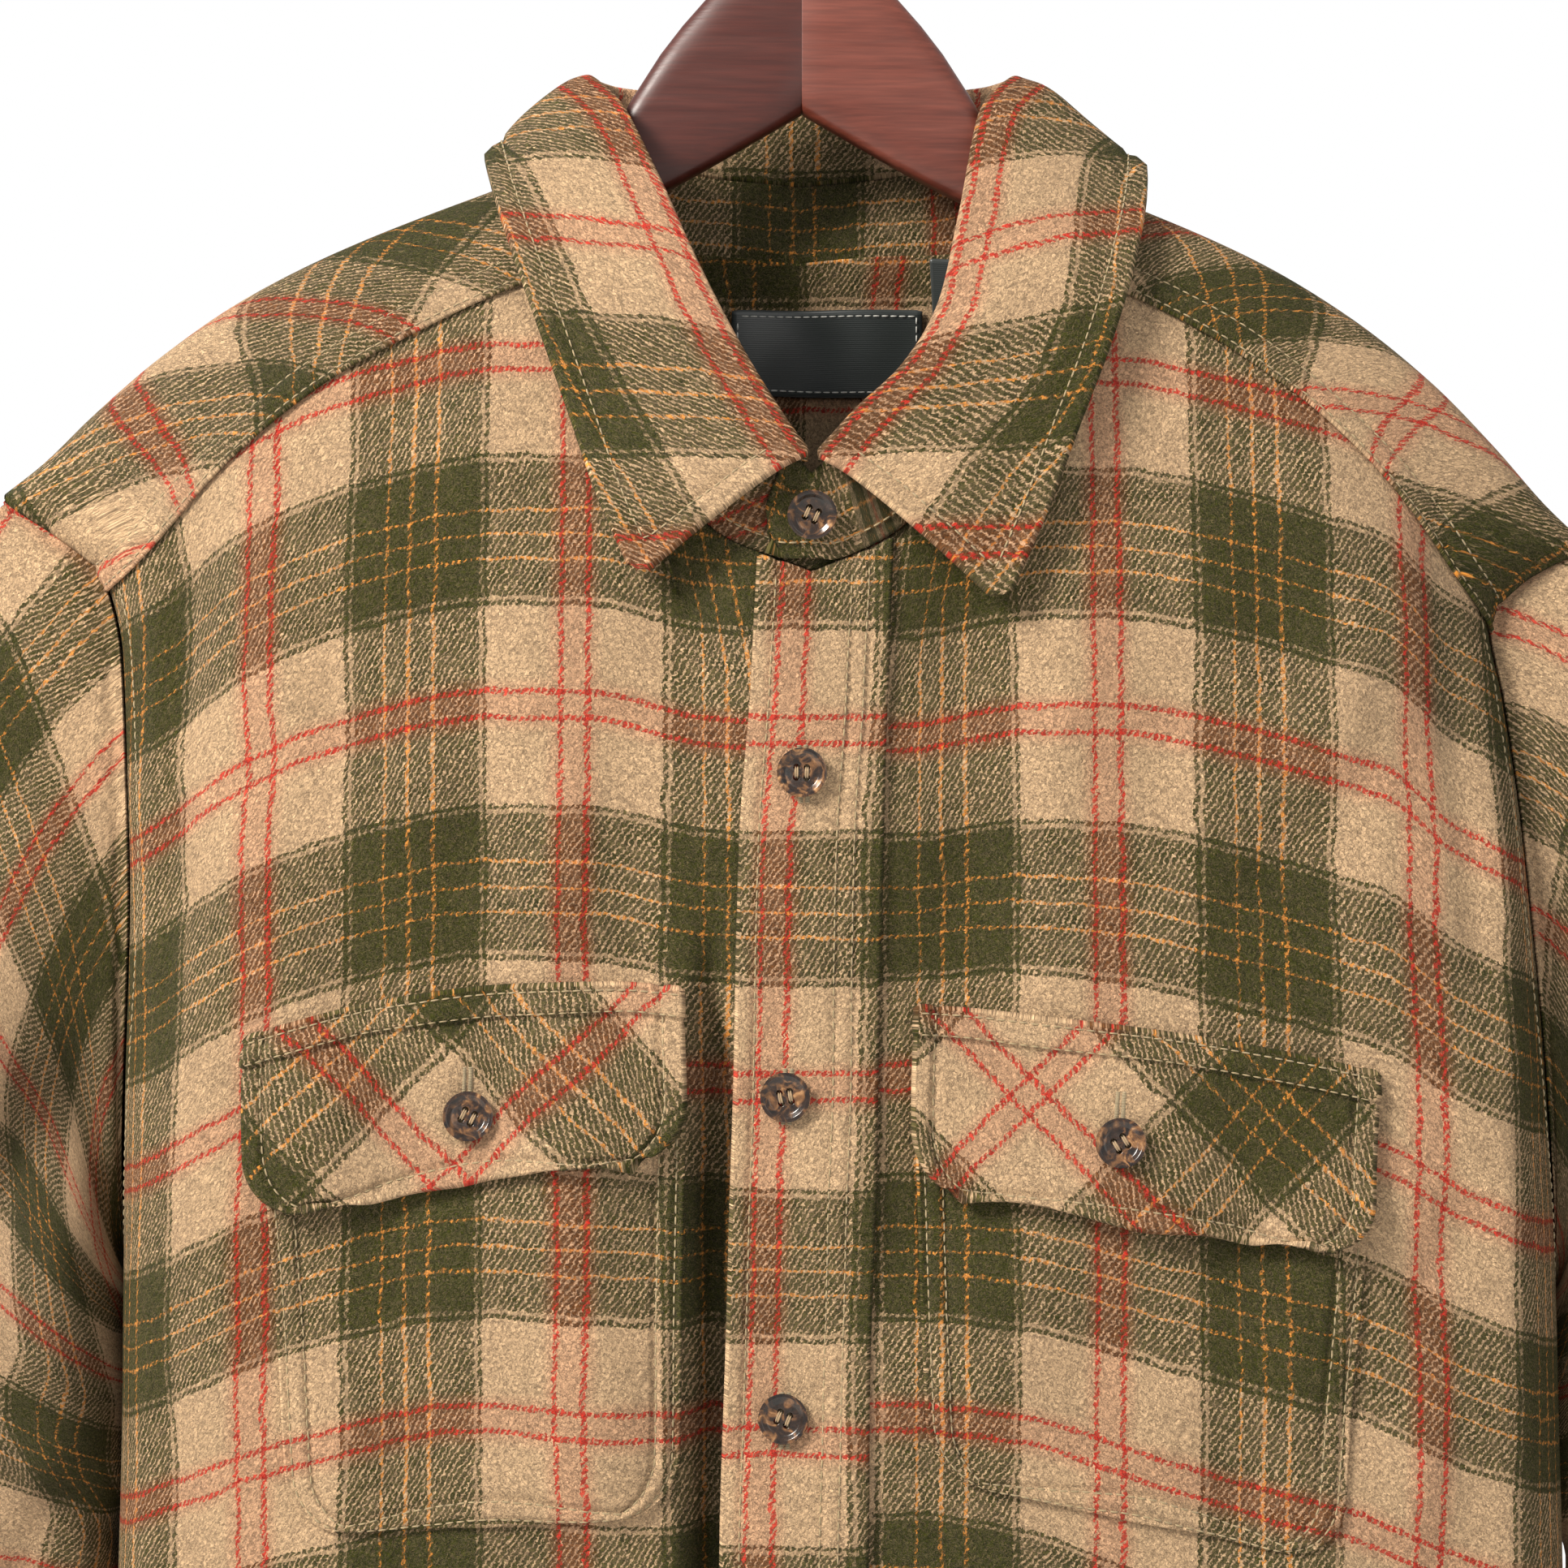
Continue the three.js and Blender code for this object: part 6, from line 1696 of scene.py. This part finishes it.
def make_buttons():
    pattern = button_shape()
    material = horn_material()
    random = np.random.default_rng(SEED)
    starts, ends, normals = [], [], []
    for name, surface, off in button_places():
        across = surface(0.5, 0) - surface(-0.5, 0)
        down = surface(0, 0.5) - surface(0, -0.5)
        normal = unit(np.cross(down, across))
        centre = surface(0, 0) + normal * (off + SEAM)
        spin = Matrix.Rotation(random.uniform(-0.5, 0.5), 4, "Z")
        turn = Vector((0, 0, 1)).rotation_difference(Vector(normal)).to_matrix().to_4x4()
        place = Matrix.Translation(Vector(centre * MM)) @ turn @ spin
        mesh = pattern.data.copy()
        mesh.transform(place)
        mesh.update()
        button = bpy.data.objects.new(name + "_horn", mesh)
        bpy.context.scene.collection.objects.link(button)
        dress(button, material, "buttons", name)
        for x in (-1.55, 1.55):
            for shift in (-0.3, 0.3):
                ends_of = [place @ (Vector((x + shift, y, 1.95)) * MM) / MM for y in (-1.7, 1.7)]
                starts.append(tuple(ends_of[0]))
                ends.append(tuple(ends_of[1]))
                normals.append(tuple(normal))
    bpy.data.objects.remove(pattern)
    piece = thread_mesh("button_threads", starts, ends, normals, 0.34, 8)
    dress(piece, thread_material("button thread", linear(170, 140, 100, 0.5)), "flannel")


# The hanger

ARM_STATIONS = (
    0, 0.4, 9, 18, 25, 31, 38, 45, 54, 62, 70, 78, 90, 105, 122, 140, 158, 172, 186, 198, 207, 210.6, 212,
)


def arm_section(out):
    """Top and bottom height and half thickness of an arm at a distance from the hanger's middle."""
    across = (out + HANGER_JOINT_X + SEAM) / float(half_width(LEFT, 0))
    under = ARM_GAP + 4 * float(smooth(160, 212, out))
    along_shoulder = float(smooth(88, 112, out))
    high = mix(float(arm_top(out)), float(shoulder_z(LEFT, across)) - under, along_shoulder)
    return high, float(arm_bottom(out)), float(arm_half(out))


arm_top, arm_bottom, arm_half = (follow(HANGER_ARM, "out", key) for key in ("top", "bottom", "half"))


def make_arm(side):
    """A flat-sided wooden bar with rounded edges, drawn out along its stations."""
    deselect()
    bpy.ops.mesh.primitive_plane_add(size=1, location=(0, 0, 0), rotation=(0, math.pi / 2, 0))
    arm = bpy.context.object
    bpy.ops.object.transform_apply(location=True, rotation=True, scale=True)
    bpy.ops.object.mode_set(mode="EDIT")
    bpy.ops.mesh.select_all(action="SELECT")
    bpy.ops.mesh.bevel(offset=0.32, segments=6, affect="VERTICES")
    bpy.ops.mesh.select_all(action="SELECT")
    at = np.zeros(3)
    size = np.array([1.0, 1.0])
    for k, out in enumerate(ARM_STATIONS):
        high, low, half = arm_section(out)
        shrink = {0: 0.985, len(ARM_STATIONS) - 2: 0.9, len(ARM_STATIONS) - 1: 0.62}.get(k, 1)
        target = np.array([HANGER_JOINT_X + side * (out + 0.02), 0, (high + low) / 2]) * MM
        wanted = np.array([2 * half, high - low]) * MM * shrink
        if k:
            bpy.ops.mesh.extrude_region_move(TRANSFORM_OT_translate={"value": tuple(target - at)})
        else:
            bpy.ops.transform.translate(value=tuple(target - at))
        scale = wanted / size
        bpy.ops.transform.resize(value=(1, scale[0], scale[1]), center_override=tuple(target))
        at, size = target, wanted
    bpy.ops.mesh.select_all(action="SELECT")
    bpy.ops.mesh.normals_make_consistent(inside=False)
    bpy.ops.object.mode_set(mode="OBJECT")
    bpy.ops.object.shade_smooth_by_angle(angle=math.radians(40))
    name = "hanger_arm_right" if side == RIGHT else "hanger_arm_left"
    arm.name = name + "_wood"
    colours = ((62, 20, 11), (78, 28, 16)) if side == RIGHT else ((92, 42, 30), (116, 58, 44))
    stain = "mahogany stain" if side == RIGHT else "lighter stain"
    dark, light = (linear(*colour, 0.62) for colour in colours)
    material = wood_material(stain, dark, light, -0.5 * side)
    dress(arm, material, "hanger_wood", name)


def make_hook():
    """A wire bent over the rail, with a stem down into the wood."""
    middle_z = HOOK_WIRE_RADIUS - HOOK_RADIUS
    turns = np.linspace(1.12 * math.pi, -0.33 * math.pi, 25)
    points = [(HOOK_RADIUS * math.cos(t), middle_z + HOOK_RADIUS * math.sin(t)) for t in turns]
    points += [(6, -37.5), (1.5, -42), (0.2, -46), (0, -50), (0, -55), (0, -59.7)]
    curve = bpy.data.curves.new("hook", "CURVE")
    curve.dimensions = "3D"
    curve.bevel_depth = HOOK_WIRE_RADIUS * MM
    curve.bevel_resolution = 4
    curve.resolution_u = 6
    curve.use_fill_caps = True
    spline = curve.splines.new("NURBS")
    spline.points.add(len(points) - 1)
    for point, (x, z) in zip(spline.points, points):
        point.co = (x * MM, 0, z * MM, 1)
    spline.use_endpoint_u = True
    spline.order_u = 3
    hook = bpy.data.objects.new("hook_wire", curve)
    bpy.context.scene.collection.objects.link(hook)
    deselect()
    hook.select_set(True)
    bpy.context.view_layer.objects.active = hook
    bpy.ops.object.convert(target="MESH")
    bpy.ops.object.shade_smooth()
    dress(bpy.context.object, steel_material(), "hook_steel", "hook")


# Properties, operators and the panel

class ShirtColours(bpy.types.PropertyGroup):
    tan: bpy.props.FloatVectorProperty(
        name="Tan", description="Ground threads", subtype="COLOR", size=3, min=0, max=1,
        default=linear(220, 184, 143, 0.61)[:3],
    )
    olive: bpy.props.FloatVectorProperty(
        name="Olive", description="Threads of the dark bands", subtype="COLOR", size=3, min=0, max=1,
        default=linear(82, 84, 26, 0.34)[:3],
    )
    red: bpy.props.FloatVectorProperty(
        name="Red", description="Threads of the line pairs", subtype="COLOR", size=3, min=0, max=1,
        default=linear(216, 52, 38, 0.58)[:3],
    )
    orange: bpy.props.FloatVectorProperty(
        name="Orange", description="Single threads in the dark bands", subtype="COLOR", size=3,
        min=0, max=1,
        default=linear(234, 152, 64, 0.6)[:3],
    )


class ShirtSizes(bpy.types.PropertyGroup):
    stitch: bpy.props.FloatProperty(
        name="Stitch", description="Length of one stitch", default=2.7 * MM, min=0.001, max=0.006,
        subtype="DISTANCE",
    )
    button_radius: bpy.props.FloatProperty(
        name="Button radius", description="Half of a button's width", default=7.6 * MM, min=0.004, max=0.015,
        subtype="DISTANCE",
    )
    button_height: bpy.props.FloatProperty(
        name="Button height", description="Thickness of a button's rim", default=3 * MM, min=0.001, max=0.006,
        subtype="DISTANCE",
    )


class SHIRT_OT_body(bpy.types.Operator):
    """Makes the two fronts, the back and the yoke"""
    bl_idname = "shirt.body"
    bl_label = "Body"

    def execute(self, context):
        make_front(RIGHT)
        make_front(LEFT)
        make_back()
        make_yoke()
        return {"FINISHED"}


class SHIRT_OT_collar(bpy.types.Operator):
    """Makes the collar's stand and fall"""
    bl_idname = "shirt.collar"
    bl_label = "Collar"

    def execute(self, context):
        make_stand()
        make_fall()
        return {"FINISHED"}


class SHIRT_OT_sleeves(bpy.types.Operator):
    """Makes the sleeves and their cuffs"""
    bl_idname = "shirt.sleeves"
    bl_label = "Sleeves and cuffs"

    def execute(self, context):
        for side in (RIGHT, LEFT):
            make_sleeve(side)
            make_cuff(side)
        return {"FINISHED"}


class SHIRT_OT_front_details(bpy.types.Operator):
    """Makes the placket, the pockets and their flaps"""
    bl_idname = "shirt.front_details"
    bl_label = "Placket and pockets"

    def execute(self, context):
        make_placket()
        for side in ("right", "left"):
            make_pocket("pocket_" + side)
            make_flap("flap_" + side)
        return {"FINISHED"}


class SHIRT_OT_labels(bpy.types.Operator):
    """Makes the two blank labels inside the neck"""
    bl_idname = "shirt.labels"
    bl_label = "Labels"

    def execute(self, context):
        make_label("neck_label")
        make_label("care_label")
        return {"FINISHED"}


class SHIRT_OT_seams(bpy.types.Operator):
    """Sews the topstitching and the buttonholes"""
    bl_idname = "shirt.seams"
    bl_label = "Stitching and buttonholes"

    def execute(self, context):
        make_seams()
        make_buttonholes()
        return {"FINISHED"}


class SHIRT_OT_buttons(bpy.types.Operator):
    """Makes the buttons and the threads that hold them"""
    bl_idname = "shirt.buttons"
    bl_label = "Buttons"

    def execute(self, context):
        make_buttons()
        return {"FINISHED"}


class SHIRT_OT_hanger(bpy.types.Operator):
    """Makes the hanger's two wooden arms and its hook"""
    bl_idname = "shirt.hanger"
    bl_label = "Hanger"

    def execute(self, context):
        make_arm(RIGHT)
        make_arm(LEFT)
        make_hook()
        return {"FINISHED"}


class SHIRT_OT_stage(bpy.types.Operator):
    """Makes the floor, the soft light and the camera"""
    bl_idname = "shirt.stage"
    bl_label = "Stage"

    def execute(self, context):
        make_stage()
        return {"FINISHED"}


def deselect():
    if bpy.context.object and bpy.context.object.mode != "OBJECT":
        bpy.ops.object.mode_set(mode="OBJECT")
    bpy.ops.object.select_all(action="DESELECT")


def make_stage():
    deselect()
    bpy.ops.mesh.primitive_plane_add(size=8, location=(0, 0, 0))
    floor = bpy.context.object
    floor.name = "floor"
    bpy.ops.object.mode_set(mode="EDIT")
    bpy.ops.mesh.select_all(action="SELECT")
    bpy.ops.transform.translate(value=(0, 0, -1.06))
    bpy.ops.object.mode_set(mode="OBJECT")
    material, tree, shader = new_material("pale floor", Roughness=0.8)
    place = put(tree, "ShaderNodeTexCoord").outputs["Object"]
    fleck = noise(tree, place, 60.0, 4.0).outputs[0]
    colour = ramp(tree, fleck, [(0.3, (0.8, 0.79, 0.77, 1)), (0.7, (0.86, 0.85, 0.83, 1))], "LINEAR")
    tree.links.new(colour, shader.inputs["Base Color"])
    floor.data.materials.append(material)
    world = bpy.data.worlds.new("studio")
    bpy.context.scene.world = world
    world.use_nodes = True
    world.node_tree.nodes["Background"].inputs[0].default_value = (1.0, 1.0, 1.0, 1)
    world.node_tree.nodes["Background"].inputs[1].default_value = 1.0
    for name, place, size, energy, colour in (
        ("key", (-1.3, -1.15, 0.8), 0.6, 104, (1.0, 0.95, 0.88)),
        ("fill", (1.0, -1.9, 0.1), 1.2, 8, (1.0, 0.96, 0.9)),
    ):
        light = bpy.data.lights.new(name, "AREA")
        light.size, light.energy, light.color = size, energy, colour
        lamp = bpy.data.objects.new(name, light)
        lamp.location = place
        lamp.rotation_euler = (Vector((0, 0, -0.4)) - Vector(place)).to_track_quat("-Z", "Y").to_euler()
        bpy.context.scene.collection.objects.link(lamp)
    camera = bpy.data.cameras.new("camera")
    camera.sensor_width = 36
    camera.lens = 36 / (2 * 0.2367)
    camera.clip_end = 30
    holder = bpy.data.objects.new("camera", camera)
    holder.location = (-4.66 * MM, -1060 * MM, -325 * MM)
    holder.rotation_euler = (math.pi / 2, 0, 0)
    bpy.context.scene.collection.objects.link(holder)
    bpy.context.scene.camera = holder
    bpy.context.scene.view_settings.view_transform = "Standard"
    bpy.context.scene.view_settings.look = "None"


class SHIRT_PT_panel(bpy.types.Panel):
    bl_idname = "SHIRT_PT_panel"
    bl_label = "Shirt"
    bl_space_type = "VIEW_3D"
    bl_region_type = "UI"
    bl_category = "Shirt"

    def draw(self, context):
        layout = self.layout
        for group in (context.scene.shirt_colours, context.scene.shirt_sizes):
            for key in group.bl_rna.properties.keys():
                if key not in ("rna_type", "name"):
                    layout.prop(group, key)
        for step in STEPS:
            layout.operator(step.bl_idname)


STEPS = (
    SHIRT_OT_body, SHIRT_OT_collar, SHIRT_OT_sleeves, SHIRT_OT_front_details, SHIRT_OT_labels,
    SHIRT_OT_seams, SHIRT_OT_buttons, SHIRT_OT_hanger, SHIRT_OT_stage,
)
CLASSES = (ShirtColours, ShirtSizes, *STEPS, SHIRT_PT_panel)


def register():
    for each in CLASSES:
        bpy.utils.register_class(each)
    bpy.types.Scene.shirt_colours = bpy.props.PointerProperty(type=ShirtColours)
    bpy.types.Scene.shirt_sizes = bpy.props.PointerProperty(type=ShirtSizes)


def unregister():
    del bpy.types.Scene.shirt_sizes
    del bpy.types.Scene.shirt_colours
    for each in reversed(CLASSES):
        bpy.utils.unregister_class(each)


def main():
    register()
    bpy.ops.shirt.body()
    bpy.ops.shirt.collar()
    bpy.ops.shirt.sleeves()
    bpy.ops.shirt.front_details()
    bpy.ops.shirt.labels()
    bpy.ops.shirt.seams()
    bpy.ops.shirt.buttons()
    bpy.ops.shirt.hanger()
    bpy.ops.shirt.stage()


if __name__ == "__main__":
    main()
